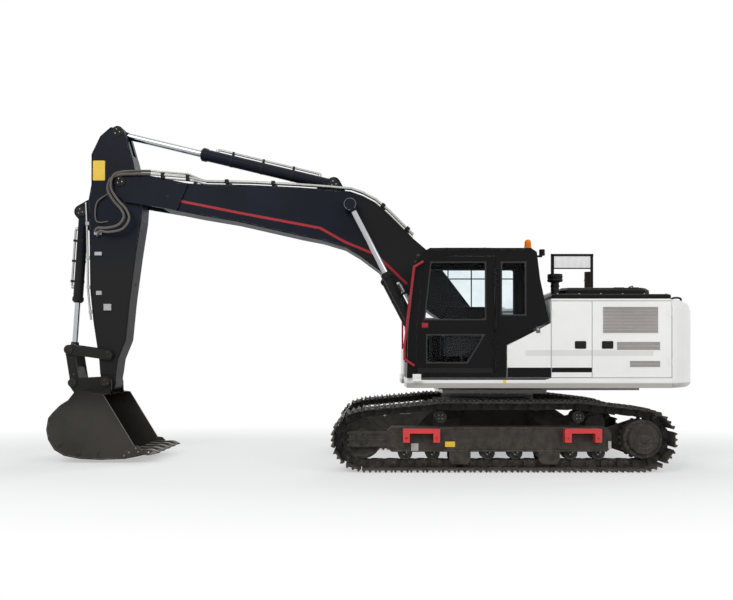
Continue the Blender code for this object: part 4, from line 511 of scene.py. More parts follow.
zinc = finish("zinc", rgb(0.42, 0.42, 0.41), 0.42, metal=0.9, dust=0.15, blotch=0.12,
              grain=0.1)
mesh_wire = finish("mesh_wire", rgb(0.42, 0.39, 0.37), 0.55, metal=0.2, dust=0.15)


def make_glass(name, colour, clear=1.0):
    paint = bpy.data.materials.new(name)
    paint.use_nodes = True
    tree = paint.node_tree
    shader = tree.nodes["Principled BSDF"]
    shader.inputs["Transmission Weight"].default_value = clear
    shader.inputs["IOR"].default_value = 1.12
    place = shader_node(tree, "TexCoord").outputs["Object"]
    film = noise(tree, place, 2.2, 5.0, 0.6)
    hazy = tuple(min(1.0, c * 1.15) for c in colour[:3]) + (1.0,)
    tree.links.new(laid_over(tree, span(tree, film, 0.4, 0.7), colour, hazy),
                   shader.inputs["Base Color"])
    tree.links.new(span(tree, film, 0.35, 0.7, 0.0, 0.02), shader.inputs["Roughness"])
    return paint


def make_cloth(name, colour, pitch):
    paint = finish(name, colour, 0.9, dust=0.05, sheen=0.35)
    tree = paint.node_tree
    place = shader_node(tree, "TexCoord").outputs["Object"]
    across, along, up = shader_node(tree, "SeparateXYZ", place).outputs
    turns = 2 * math.pi / pitch
    waves = [sums(tree, "SINE", sums(tree, "MULTIPLY", part, turns))
             for part in (sums(tree, "ADD", across, up), along)]
    weave = sums(tree, "MAXIMUM", *waves)
    bump = shader_node(tree, "Bump", None, 0.0015)
    bump.inputs["Strength"].default_value = 0.6
    tree.links.new(weave, bump.inputs["Height"])
    tree.links.new(bump.outputs[0], tree.nodes["Principled BSDF"].inputs["Normal"])
    return paint


pane_glass = make_glass("pane_glass", rgb(0.84, 0.91, 0.93))
amber_lens = make_glass("amber_lens", rgb(0.95, 0.30, 0.02), 0.35)
seat_fabric = make_cloth("seat_fabric", rgb(0.035, 0.036, 0.040), 0.004)
print("finishes:", len(bpy.data.materials))

# %% [markdown]
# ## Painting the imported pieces
#
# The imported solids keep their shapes. Each gets its finish here, and most get their hard
# edges rounded by a few millimetres, because no plate or casting has a knife edge and the
# thin highlight along an edge is what makes steel look like steel. The solids arrive as
# loose triangles, so a Weld joins them and a planar Decimate clears the extra edges first.

# %% Paint and soft edges
PAINTS = {
    "body_white": body_paint, "frame_black": boom_paint, "cab_black": cab_paint,
    "track_brown": cast_steel, "frame_brown": frame_paint, "digging_steel": digging_paint,
    "chrome": chrome_plate, "rail_red": rail_paint, "glass": pane_glass,
    "amber": amber_lens, "seat_cloth": seat_fabric, "engine_grey": engine_cast,
    "tank_white": body_paint,
}
EDGES = {
    "swing_frame": 0.006, "counterweight": 0.022, "cab_shell": 0.008, "cab_door": 0.006,
    "engine_house": 0.006, "top_cover": 0.010, "engine_hood": 0.012, "battery_door": 0.006,
    "filter_door": 0.006, "cooler_door": 0.004, "pump_door": 0.006, "tool_box": 0.010,
    "fuel_tank": 0.014, "hydraulic_tank": 0.014, "boom": 0.006, "arm": 0.006,
    "bucket": 0.005, "tipping_links": 0.006, "bucket_link": 0.006, "carbody": 0.010,
    "track_frame_left": 0.006, "track_frame_right": 0.006, "idler_left": 0.006,
    "idler_right": 0.006, "sprocket_left": 0.005, "sprocket_right": 0.005,
    "engine_block": 0.012, "cooler_pack": 0.006, "batteries": 0.006,
    "boom_cylinder_barrel_left": 0.005, "boom_cylinder_barrel_right": 0.005,
    "arm_cylinder_barrel": 0.005, "bucket_cylinder_barrel": 0.005,
}


def paint_nodes():
    for name, obj in nodes.items():
        for holder in obj.material_slots:
            slot = holder.material.name if holder.material else ""
            for known, paint in PAINTS.items():
                if slot.startswith(known):
                    holder.material = paint


def darken_station():
    for holder in nodes["operator_station"].material_slots:
        holder.material = black_plastic


def soften_nodes():
    for name, width in EDGES.items():
        obj = nodes[name]
        weld = obj.modifiers.new("weld", "WELD")
        weld.merge_threshold = 0.0001
        flat = obj.modifiers.new("flat", "DECIMATE")
        flat.decimate_type = "DISSOLVE"
        flat.angle_limit = math.radians(1)
        soften(obj, width)


paint_nodes()
darken_station()
soften_nodes()
print("softened:", len(EDGES), "of", len(nodes))

# %% [markdown]
# ## The ground in white
#
# The photograph has a pure white ground that keeps a soft shadow round the tracks and the
# bucket. So the floor is pale and takes shadow near the machine, and turns to plain white
# further out, where only the camera, metal and glass see it.

# %% Fade the floor to white
FADE_START = 2.6
FADE_END = 5.2
NEAR_WHITE = 0.45
FADE_SHAPE = (0.45, 1.0, 1.0)


def fade_floor():
    tree = floor.data.materials[0].node_tree
    place = shader_node(tree, "TexCoord").outputs["Object"]
    shaped = shader_node(tree, "VectorMath", place, FADE_SHAPE, operation="MULTIPLY")
    reach = shader_node(tree, "VectorMath", shaped.outputs["Vector"],
                        operation="LENGTH").outputs["Value"]
    white = span(tree, reach, FADE_START, FADE_END, NEAR_WHITE, 1.0)
    share = sums(tree, "MULTIPLY", white, seen_white(tree))
    glow = shader_node(tree, "Emission", rgb(1.0, 1.0, 1.0))
    paint = tree.nodes["Principled BSDF"]
    both = shader_node(tree, "MixShader", share, paint.outputs[0], glow.outputs[0])
    tree.links.new(both.outputs[0], tree.nodes["Material Output"].inputs["Surface"])


fade_floor()
print("floor white from", FADE_END, "m")

# %% [markdown]
# ## The track chains
#
# A crawler track is a chain of forged links with a steel shoe bolted across each pair. The
# packed belt has the right path and lugs but no joints. Here the path is walked once, link
# by link, to get a place and a direction for every shoe. Then one shoe, one pair of links,
# a pin with its bushing and four bolts are laid at each, so that the chain bends only at
# its pins, as a real one does.

# %% Walk the path of the chain
TRACK_RADIUS = 0.415
TUMBLER_SPAN = 3.65
TRACK_HEIGHT = 0.93
TRACK_LEAN_DEG = 7.0
TRACK_ARC = 14
CARRIER_X = (1.00, -0.80)
SHOE_COUNT = 46
SHOE_HALF = 0.30
PIN_DEPTH = 0.095
SIDES = (("left", -1), ("right", 1))
GAUGE_HALF = -LEFT_MIDDLE


def track_loop(depth):
    """The track's outline from the slewing axis, this deep under the tips of its lugs."""
    radius, reach = TRACK_RADIUS - depth, TUMBLER_SPAN / 2
    swing = math.radians(180 - TRACK_LEAN_DEG)
    arc = [i * swing / TRACK_ARC for i in range(TRACK_ARC + 1)]
    rear = [(reach + radius * math.sin(a), TRACK_RADIUS - radius * math.cos(a)) for a in arc]
    front = [(-x, z) for x, z in reversed(rear)]
    top = TRACK_HEIGHT - depth
    return rear + [(x, top) for x in CARRIER_X] + front


def link_frames():
    """Middle, way along and way out of each link, in X and Z."""
    loop = [Vector(point) for point in track_loop(PIN_DEPTH)]
    loop.append(loop[0])
    steps = [(b - a).length for a, b in zip(loop, loop[1:])]
    pitch = sum(steps) / SHOE_COUNT
    places, run, i = [], 0.0, 0
    for link in range(SHOE_COUNT):
        while run + steps[i] < link * pitch:
            run += steps[i]
            i += 1
        places.append(loop[i].lerp(loop[i + 1], (link * pitch - run) / steps[i]))
    found = []
    for a, b in zip(places, places[1:] + places[:1]):
        way = (b - a).normalized()
        found.append(((a + b) / 2, way, Vector((way.y, -way.x)), (b - a).length))
    return found


LINKS = link_frames()
print("links:", len(LINKS), "pitch", round(LINKS[0][3], 4))

# %% Shoes, links, pins and bolts
LUG_SPOTS = ((-0.38, 0.006, 0.020), (0.01, 0.008, 0.022), (0.38, 0.006, 0.020))
PLATE_LOW, PLATE_TOP = 0.054, 0.068
LINK_HALF_TALL = 0.046
LINK_ROWS = ((0.047, 0.069), (0.072, 0.094))
BOLT_ACROSS = (0.056, 0.084)


def on_link(link, along, out):
    middle, way, outward = link[:3]
    spot = middle + way * along + outward * out
    return spot.x + SLEW_X, spot.y


def shoe_outline(link):
    """Side of one shoe: a plate with a bent lip at each end, and three lugs."""
    pitch = link[3]
    side = [(-0.47 * pitch, PLATE_LOW), (0.45 * pitch, PLATE_LOW),
            (0.50 * pitch, PLATE_LOW - 0.012), (0.515 * pitch, PLATE_LOW - 0.006),
            (0.47 * pitch, PLATE_TOP)]
    for share, tip, base in reversed(LUG_SPOTS):
        middle = share * pitch
        side += [(middle + base, PLATE_TOP), (middle + tip, PIN_DEPTH - 0.002),
                 (middle, PIN_DEPTH), (middle - tip, PIN_DEPTH - 0.002),
                 (middle - base, PLATE_TOP)]
    side += [(-0.49 * pitch, PLATE_TOP), (-0.505 * pitch, PLATE_TOP - 0.008)]
    return [on_link(link, along, out) for along, out in side]


def half_link(link, way):
    """One plate of a link, from its waist round one pin."""
    reach = way * link[3] / 2
    side = [(-0.1 * reach, LINK_HALF_TALL), (-0.1 * reach, -LINK_HALF_TALL * 0.82)]
    for i in range(7):
        turn = math.pi * (i / 6 - 0.5)
        side.append((reach + way * LINK_HALF_TALL * 0.9 * math.cos(turn),
                     LINK_HALF_TALL * math.sin(turn)))
    side.insert(2, (0.45 * reach, -LINK_HALF_TALL))
    return [on_link(link, along, out) for along, out in side]


def make_chain(name, side):
    shoes, links, bolts = forms(3)
    middle = side * GAUGE_HALF
    for link in LINKS:
        plate(shoes, shoe_outline(link), middle - SHOE_HALF, middle + SHOE_HALF)
        for way, (near, far) in zip((-1, 1), LINK_ROWS):
            for flank in (-1, 1):
                plate(links, half_link(link, way), middle + flank * near, middle + flank * far)
        x, z = on_link(link, -link[3] / 2, 0)
        turned(links, (x, middle - 0.044, z), (0, 1, 0), ((0, 0.030), (0.088, 0.030)), 16)
        turned(links, (x, middle - 0.102, z), (0, 1, 0),
               ((0, 0.014), (0.004, 0.019), (0.200, 0.019), (0.204, 0.014)), 16)
        outward = Vector((link[2].x, 0, link[2].y))
        for along in (-0.19, 0.19):
            x, z = on_link(link, along * link[3], PLATE_TOP - 0.002)
            for across in BOLT_ACROSS:
                for flank in (-1, 1):
                    turned(bolts, (x, middle + flank * across, z), outward,
                           ((0, 0.013), (0.010, 0.013), (0.012, 0.010)), 6)
    shoe = piece("track_shoes_" + name, shoes, track_steel, "undercarriage", 0.0025)
    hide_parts("track_" + name)
    piece("track_links_" + name, links, cast_steel, "undercarriage", 0.0)
    piece("shoe_bolts_" + name, bolts, track_steel, "undercarriage", 0.0)


for name, side in SIDES:
    make_chain(name, side)
print("shoes each side:", SHOE_COUNT)

# %% [markdown]
# ## Rollers, idlers and final drives
#
# Under the frame the machine rolls on flanged rollers whose shafts are held by bolted
# collars. In front, an idler wheel turns in a yoke, and behind, a hydraulic motor drives
# the sprocket through a bolted hub. These are all turned shapes, so each is a profile spun
# about its axle, with a ring of hexagon bolts laid round it by a loop.

# %% Wheels of the undercarriage
ROLLER_COUNT, ROLLER_RUN, ROLLER_Z = 8, 2.52, 0.230
ROLLER_HALF, ROLLER_RADIUS = 0.11, 0.084
CARRIER_Z = TRACK_HEIGHT - 0.227
CARRIER_LONG = 0.246
FRAME_HALF = 0.15
HUB_OUT = 0.15


def bolt_ring(shape, centre, way, radius, count, size, height=0.010):
    """Hexagon heads round an axis."""
    centre, way = Vector(centre), Vector(way).normalized()
    for spoke in spokes(way, count):
        turned(shape, centre + radius * spoke - 0.001 * way, way,
               ((0, size), (height * 0.8, size), (height, size * 0.78)), 6)


def make_rollers(name, side):
    wheels, heads = forms(2)
    middle, z, radius = side * GAUGE_HALF, ROLLER_Z, ROLLER_RADIUS
    for i in range(ROLLER_COUNT):
        x = ROLLER_RUN * (i / (ROLLER_COUNT - 1) - 0.5)
        place = here(x, middle - ROLLER_HALF - 0.004, z)
        turned(wheels, place, (0, 1, 0),
               ((0, 0.05), (0.006, radius + 0.004), (0.018, radius + 0.010),
                (0.030, radius + 0.010), (0.036, radius + 0.002), (0.192, radius + 0.002),
                (0.198, radius + 0.010), (0.210, radius + 0.010), (0.222, radius + 0.004),
                (0.228, 0.05)), 32)
        for flank in (-1, 1):
            face = middle + flank * (ROLLER_HALF + 0.004)
            turned(wheels, here(x, face, z), (0, flank, 0),
                   ((-0.002, 0.042), (0.020, 0.042), (0.026, 0.034)), 20)
            slab(wheels, here(x - 0.052, min(face, face + flank * 0.026), z + 0.005),
                 here(x + 0.052, max(face, face + flank * 0.026), z + 0.035))
            bolt_ring(heads, here(x, face + flank * 0.026, z), (0, flank, 0), 0.022, 2, 0.007)
    piece("rollers_" + name, wheels, cast_steel, "undercarriage", 0.002)
    carriers = bmesh.new()
    for x in CARRIER_X:
        place = here(x, middle - ROLLER_HALF - 0.012, CARRIER_Z)
        turned(carriers, place, (0, 1, 0),
               ((0, 0.03), (0.004, 0.078), (0.024, 0.080), (0.030, 0.0765), (0.204, 0.0765),
                (0.210, 0.080), (0.230, 0.078), (0.234, 0.05), (CARRIER_LONG, 0.045),
                (0.250, 0.03)), 32)
        end = place + Vector((0, CARRIER_LONG if side > 0 else 0.0, 0))
        bolt_ring(heads, end, (0, side, 0), 0.032, 4, 0.006)
    piece("carrier_rollers_" + name, carriers, cast_steel, "undercarriage", 0.0)
    piece("roller_bolts_" + name, heads, zinc, "undercarriage", 0.0)


def make_drive(name, side):
    middle = side * GAUGE_HALF
    rear = here(TUMBLER_SPAN / 2, middle, TRACK_RADIUS)
    front = here(-TUMBLER_SPAN / 2, middle, TRACK_RADIUS)
    way = Vector((0, side, 0))
    hub, heads = forms(2)
    turned(hub, rear + way * (HUB_OUT - 0.002), way,
           ((0, 0.252), (0.012, 0.252), (0.018, 0.246), (0.018, 0.206), (0.050, 0.200),
            (0.066, 0.186), (0.072, 0.165), (0.072, 0.120), (0.066, 0.112), (0.066, 0.06),
            (0.074, 0.055), (0.080, 0.045), (0.080, 0.0)), 48)
    bolt_ring(heads, rear + way * (HUB_OUT + 0.016), way, 0.228, 24, 0.011, 0.012)
    bolt_ring(heads, rear + way * (HUB_OUT + 0.070), way, 0.142, 12, 0.008, 0.008)
    bolt_ring(heads, rear + way * (HUB_OUT + 0.064), way, 0.085, 3, 0.014, 0.008)
    idler = bmesh.new()
    for flank in (-1, 1):
        turned(idler, front + Vector((0, flank * 0.084, 0)), (0, flank, 0),
               ((0, 0.262), (0.010, 0.262), (0.014, 0.256), (0.014, 0.226), (0.004, 0.214),
                (0.004, 0.130), (0.014, 0.118), (0.020, 0.092), (0.020, 0.02)), 48)
        turned(idler, front + Vector((0, flank * 0.145, 0)), (0, flank, 0),
               ((0, 0.078), (0.010, 0.078), (0.016, 0.070), (0.016, 0.05), (0.010, 0.045),
                (0.010, 0.0)), 28)
        bolt_ring(heads, front + Vector((0, flank * 0.160, 0)), (0, flank, 0), 0.060, 6,
                  0.007, 0.008)
    piece("drive_hub_" + name, hub, frame_paint, "undercarriage", 0.0)
    piece("idler_faces_" + name, idler, cast_steel, "undercarriage", 0.0)
    piece("drive_bolts_" + name, heads, track_steel, "undercarriage", 0.0)


for name, side in SIDES:
    make_rollers(name, side)
    make_drive(name, side)
print("rollers each side:", ROLLER_COUNT)

# %% [markdown]
# ## Track frames, steps and slewing ring
#
# The long box of the track frame gets what a welder leaves on it: a thicker panel plate,
# ribs at the yoke, guides that keep the chain on its rollers, and seams. The two steps are
# red, folded from plate with a row of grip holes pressed up through the tread. The small
# plates on the frame are blank.

# %% Frame details
STEP_X = (-1.055, 1.026)
STEP_HALF, STEP_OUT, STEP_LEG, STEP_BAR = 0.235, 0.265, 0.08, 0.05
STEP_LOW, STEP_HIGH = 0.385, 0.552
STEP_SKIN = 0.003
STEP_STUDS = 9
GUIDE_X = (-0.55, 0.61)
PANEL = (-0.66, 0.94, 0.285, 0.530)
PALE_MARKS = ((-1.185, -1.09, 0.265, 0.36), (1.375, 1.415, 0.29, 0.39))
YELLOW_MARK = (-0.745, -0.615, 0.315, 0.385)
RING_LOW, RING_SEAM, RING_HIGH, RING_BOLTS = 0.86, 0.905, 0.9815, 36


def cross(shape, x0, x1, y0, y1, z0, z1):
    """A block given from the slewing axis, with its corners in any order."""
    slab(shape, here(min(x0, x1), min(y0, y1), min(z0, z1)),
         here(max(x0, x1), max(y0, y1), max(z0, z1)))


def make_frame_details(name, side):
    middle = side * GAUGE_HALF
    face = middle + side * FRAME_HALF
    plates, seams, steps, bolts = forms(4)
    x0, x1, z0, z1 = PANEL
    cross(plates, x0, x1, face - side * 0.004, face + side * 0.010, z0, z1)
    for x in (x0, x1):
        tube(seams, [here(x, face + side * 0.004, z) for z in (z0, z1)], 0.005, 8)
    cross(plates, -1.46, -1.22, face - side * 0.012, face + side * 0.008, 0.300, 0.520)
    for z0, z1 in ((0.478, 0.512), (0.395, 0.420), (0.318, 0.352)):
        cross(plates, -2.02, -1.48, middle + side * 0.140, middle + side * 0.158, z0, z1)
    for x in GUIDE_X:
        for flank in (-1, 1):
            near = middle + flank * 0.128
            outline = [(x - 0.14, 0.30), (x + 0.14, 0.30), (x + 0.14, 0.15), (x + 0.10, 0.085),
                       (x - 0.10, 0.085), (x - 0.14, 0.15)]
            plate(plates, [(SLEW_X + a, b) for a, b in outline], near, near + flank * 0.024)
    for z in (0.262, 0.553):
        tube(seams, [here(-1.42, face, z), here(1.34, face, z)], 0.006, 8)
    for x in GUIDE_X:
        for dx in (-0.09, 0.09):
            turned(bolts, here(x + dx, middle + side * 0.150, 0.272), (0, side, 0),
                   ((0, 0.014), (0.010, 0.014), (0.012, 0.011)), 6)
    for x in (-1.42, -1.26):
        for z in (0.33, 0.49):
            turned(bolts, here(x, face + side * 0.007, z), (0, side, 0),
                   ((0, 0.012), (0.009, 0.012), (0.011, 0.009)), 6)
    for x in STEP_X:
        left, right = x - STEP_HALF - STEP_SKIN, x + STEP_HALF + STEP_SKIN
        low, high = STEP_LOW - STEP_SKIN, STEP_HIGH + STEP_SKIN
        inner = STEP_LEG + 2 * STEP_SKIN
        under = STEP_HIGH - STEP_BAR - STEP_SKIN
        outline = [(left, low), (left, high), (right, high), (right, low),
                   (right - inner, low), (right - inner, under), (left + inner, under),
                   (left + inner, low)]
        plate(steps, [(SLEW_X + a, b) for a, b in outline],
              *sorted((face + side * 0.001, middle + side * (STEP_OUT + STEP_SKIN))))
        for i in range(STEP_STUDS):
            for j in range(2):
                spot = here(left + 0.05 + i * (right - left - 0.10) / (STEP_STUDS - 1),
                            face + side * (0.035 + 0.045 * j), high)
                turned(steps, spot, (0, 0, 1), ((-0.002, 0.014), (0.004, 0.011),
                                                (0.004, 0.007), (-0.001, 0.006)), 10)
        for end in (left + inner / 2, right - inner / 2):
            turned(bolts, here(end, middle + side * (STEP_OUT + STEP_SKIN), 0.44),
                   (0, side, 0), ((-0.002, 0.013), (0.007, 0.013), (0.009, 0.010)), 6)
    piece("frame_plates_" + name, plates, frame_paint, "undercarriage", 0.004)
    piece("frame_seams_" + name, seams, frame_paint, "undercarriage", 0.0)
    piece("frame_bolts_" + name, bolts, track_steel, "undercarriage", 0.0)
    piece("steps_" + name, steps, red_paint, "undercarriage", 0.004)
    yellow, pale = forms(2)
    x0, x1, z0, z1 = YELLOW_MARK
    cross(yellow, x0, x1, face + side * 0.010, face + side * 0.013, z0, z1)
    for x0, x1, z0, z1 in PALE_MARKS:
        cross(pale, x0, x1, face + side * 0.006, face + side * 0.012, z0, z1)
    piece("yellow_mark_" + name, yellow, yellow_plate, "undercarriage", 0.001)
    piece("pale_marks_" + name, pale, light_grey, "undercarriage", 0.001)


def make_ring_details():
    heads, race = forms(2)
    bolt_ring(heads, here(0, 0, RING_LOW), UP, 0.688, RING_BOLTS, 0.013, 0.014)
    bolt_ring(heads, here(0, 0, RING_HIGH), -UP, 0.690, RING_BOLTS, 0.011, 0.012)
    turned(race, here(0, 0, RING_SEAM), UP,
           ((0, 0.659), (0.002, 0.672), (0.028, 0.672), (0.030, 0.659)), 72)
    piece("ring_bolts", heads, zinc, "undercarriage", 0.0)
    piece("ring_seal", race, rubber, "undercarriage", 0.0)


for name, side in SIDES:
    make_frame_details(name, side)
make_ring_details()
print("steps each side:", len(STEP_X))

# %% [markdown]
# ## The engine house
#
# The white side is made of doors. On each sit the things that a hand or an eye needs: a
# recessed black latch, a lock, and fine wire cloth behind the cooling slots that keeps
# chaff out of the radiator. The cloth is woven from thin bars, so light falls through it.
# A pale stripe and black lower strips are painted bands, a millimetre proud of the doors.

# %% Doors, grilles and latches
SIDE_Y = -1.36
GRILLES = ((1.306, 2.020, 1.795, 2.132), (1.488, 2.046, 1.574, 1.678),
           (1.656, 2.046, 1.353, 1.431))
WIRE, WIRE_PITCH, WIRE_DEPTH = 0.0032, 0.0125, 0.0035
LATCHES = (("filter_door", 1.014, 1.640), ("cooler_door", 1.365, 1.640))
STRIPE_LOW, STRIPE_HIGH = 1.498, 1.572
STRIPES = (("battery_door", 0.300, 0.629), ("filter_door", 0.641, 1.160),
           ("cooler_door", 1.172, 1.960))
HINGES = (
    # door, hinge X, side, which way the door lies from it, heights
    ("battery_door", 0.064, SIDE_Y, 1, (1.40, 1.55)),
    ("filter_door", 0.641, SIDE_Y, 1, (1.42, 2.05)),
    ("cooler_door", 2.199, SIDE_Y, -1, (1.42, 2.05)),
    ("pump_door", 0.641, -SIDE_Y, 1, (1.42, 2.05)),
)


def frame_round(shape, x0, x1, z0, z1, near, far, wide):
    """Four bars round an opening on the machine's side."""
    cross(shape, x0 - wide, x1 + wide, near, far, z1, z1 + wide)
    cross(shape, x0 - wide, x1 + wide, near, far, z0 - wide, z0)
    cross(shape, x0 - wide, x0, near, far, z0, z1)
    cross(shape, x1, x1 + wide, near, far, z0, z1)


def make_grilles():
    wires, rims = forms(2)
    for x0, x1, z0, z1 in GRILLES:
        columns, rows = round((x1 - x0) / WIRE_PITCH), round((z1 - z0) / WIRE_PITCH)
        y = SIDE_Y + WIRE_DEPTH
        for i in range(columns + 1):
            at = x0 + (x1 - x0) * i / columns
            cross(wires, at - WIRE, at + WIRE, y - WIRE / 2, y + WIRE / 2, z0, z1)
        for i in range(rows + 1):
            at = z0 + (z1 - z0) * i / rows
            cross(wires, x0, x1, y - WIRE * 1.5, y - WIRE / 2, at - WIRE, at + WIRE)
        frame_round(rims, x0, x1, z0, z1, SIDE_Y - 0.005, SIDE_Y + 0.001, 0.012)
    piece("grille_cloth", wires, mesh_wire, "cooler_door", 0.0)
    piece("grille_rims", rims, body_paint, "cooler_door", 0.002)


def make_latches():
    for name, x, z in LATCHES:
        frames, paddles = forms(2)
        plate(frames, patch(x, z, 0.074, 0.050, 0.016), SIDE_Y - 0.006, SIDE_Y + 0.001)
        cross(paddles, x - 0.055, x + 0.030, SIDE_Y - 0.013, SIDE_Y - 0.005, z - 0.032,
              z + 0.032)
        turned(paddles, here(x + 0.050, SIDE_Y - 0.005, z), (0, -1, 0),
               ((0, 0.013), (0.006, 0.013), (0.008, 0.010), (0.006, 0.006), (0.006, 0)), 20)
        piece(name + "_latch", frames, black_plastic, name, 0.002)
        piece(name + "_paddle", paddles, black_plastic, name, 0.003)


def patch(x, z, half_long, half_tall, radius):
    """A rounded outline round a place on the machine's side."""
    return rounded([(SLEW_X + x - half_long, z - half_tall),
                    (SLEW_X + x + half_long, z - half_tall),
                    (SLEW_X + x + half_long, z + half_tall),
                    (SLEW_X + x - half_long, z + half_tall)], radius)


def band_on(name, body, outline, paint, proud=0.0012):
    """A thin painted or folded band on the machine's left side."""
    shape = bmesh.new()
    plate(shape, [(SLEW_X + x, z) for x, z in outline], SIDE_Y - proud, SIDE_Y + 0.0005)
    return piece(name, shape, paint, body)


def box_of(x0, x1, z0, z1):
    return [(x0, z0), (x1, z0), (x1, z1), (x0, z1)]


def make_bands():
    pale = finish("stripe_grey", rgb(0.69, 0.68, 0.655), 0.35, dust=0.12, blotch=0.04)
    for name, x0, x1 in STRIPES:
        band_on(name + "_stripe", name, box_of(x0, x1, STRIPE_LOW, STRIPE_HIGH), pale)
    band_on("battery_door_foot", "battery_door", box_of(0.063, 0.630, 1.218, 1.345),
            cab_paint)
    band_on("filter_door_foot", "filter_door", box_of(0.640, 1.161, 1.284, 1.345), cab_paint)
    band_on("deck_band", "upper", [(-1.07, 1.186), (0.55, 1.186), (0.63, 1.2085),
                                   (-1.07, 1.2085)], cab_paint, 0.0105)
    band_on("lock_plate", "battery_door", box_of(0.436, 0.490, 1.795, 1.875), grey_plastic,
            0.004)
    band_on("corner_mark", "upper", box_of(0.006, 0.046, 1.145, 1.182), yellow_plate, 0.0115)
    lock, bracket = forms(2)
    turned(lock, here(0.463, SIDE_Y - 0.003, 1.842), (0, -1, 0),
           ((0, 0.014), (0.006, 0.014), (0.009, 0.010), (0.009, 0.0)), 20)
    piece("battery_door_lock", lock, zinc, "battery_door", 0.0)
    cross(bracket, -1.166, -1.056, SIDE_Y - 0.016, SIDE_Y - 0.010, 1.160, 1.262)
    cross(bracket, -1.166, -1.056, SIDE_Y - 0.058, SIDE_Y - 0.010, 1.160, 1.168)
    cross(bracket, -1.166, -1.056, SIDE_Y - 0.058, SIDE_Y - 0.050, 1.160, 1.205)
    piece("front_bracket", bracket, body_paint, "upper", 0.002)


def make_hinges():
    """Strap hinges: the leaves turn with each door, and the knuckles stay on the house."""
    knuckles = bmesh.new()
    for name, x, y, toward, levels in HINGES:
        shape = bmesh.new()
        way = 1 if y < 0 else -1
        for z in levels:
            for dz in (-0.028, 0.0, 0.028):
                turned(knuckles, here(x, y - way * 0.006, z + dz - 0.013), UP,
                       ((0, 0.006), (0.001, 0.0075), (0.025, 0.0075), (0.026, 0.006)), 14)
            cross(shape, x + toward * 0.008, x + toward * 0.055, y, y - way * 0.004,
                  z - 0.036, z + 0.036)
            for dz in (-0.022, 0.022):
                turned(shape, here(x + toward * 0.038, y - way * 0.003, z + dz),
                       (0, -way, 0), ((0, 0.006), (0.004, 0.005), (0.005, 0.0)), 10)
        piece(name + "_straps", shape, body_paint, name, 0.0)
    piece("door_knuckles", knuckles, body_paint, "upper", 0.0)


make_grilles()
make_latches()
make_bands()
make_hinges()
print("grilles:", len(GRILLES))

# %% [markdown]
# ## The top of the house
#
# From above, the black covers carry vent louvres, grip strips to stand on, bolts, and the
# handrail frame with its sheet of grey mesh. The exhaust is a banded pipe with an open
# tip, and the engine breathes through a bowl-shaped cleaner whose lid stands on vanes.

# %% Covers, exhaust and air cleaner
COVER_TOP, HOOD_TOP = 2.309, 2.438
LOUVRE_COUNT, LOUVRE_FRONT, LOUVRE_PITCH, LOUVRE_LEAN_DEG = 9, 1.02, 0.062, -28
EXHAUST_PLACE = (1.79, 1.05, 2.31)
CLEANER_PLACE = (0.78, -0.95, 2.31)
CLEANER_VANES = 20
RAIL_Y, RAIL_LOW, RAIL_HIGH = 0.93, 2.31, 3.12
RAIL_POSTS = ((1.19, 0.024), (1.82, 0.020))


def make_covers():
    vents, strips, heads, handles = forms(4)
    lean = Matrix.Rotation(math.radians(LOUVRE_LEAN_DEG), 3, "Y")
    for i in range(LOUVRE_COUNT):
        x = LOUVRE_FRONT + i * LOUVRE_PITCH
        for y in (-0.42, 0.42):
            slab(vents, here(x - 0.020, y - 0.24, HOOD_TOP - 0.004),
                 here(x + 0.020, y + 0.24, HOOD_TOP + 0.002), lean)
    for y in (-0.72, 0.0, 0.72):
        for i in range(2):
            x = 1.64 + i * 0.20
            cross(strips, x, x + 0.14, y - 0.05, y + 0.05, HOOD_TOP + 0.001,
                  HOOD_TOP + 0.005)
    for y in (-1.14, 1.14):
        for i in range(10):
            x = 0.90 + i * 0.13
            for j in range(3):
                turned(strips, here(x, y - 0.05 + j * 0.05, COVER_TOP), UP,
                       ((0, 0.016), (0.005, 0.012), (0.005, 0.008), (0.001, 0.007)), 10)
    for y in (-1.255, 1.255):
        for i in range(6):
            turned(heads, here(0.74 + i * 0.285, y, COVER_TOP), UP,
                   ((0, 0.014), (0.002, 0.014), (0.002, 0.009), (0.009, 0.009),
                    (0.010, 0.007)), 6)
    for y in (-0.84, 0.84):
        for i in range(5):
            turned(heads, here(0.84 + i * 0.335, y, COVER_TOP), UP,
                   ((0, 0.009), (0.007, 0.009), (0.008, 0.007)), 6)
    for y in (-0.5, 0.5):
        bow = [here(1.96, y + across, HOOD_TOP + lift) for across, lift in
               ((-0.07, 0), (-0.07, 0.037), (0.07, 0.037), (0.07, 0))]
        tube(handles, curve_through(bow, 8), 0.008, 10)
    piece("hood_louvres", vents, cab_paint, "engine_hood", 0.0015)
    piece("cover_grips", strips, rubber, "upper", 0.0)
    piece("cover_bolts", heads, zinc, "upper", 0.0)
    piece("hood_handles", handles, cab_paint, "engine_hood", 0.0)


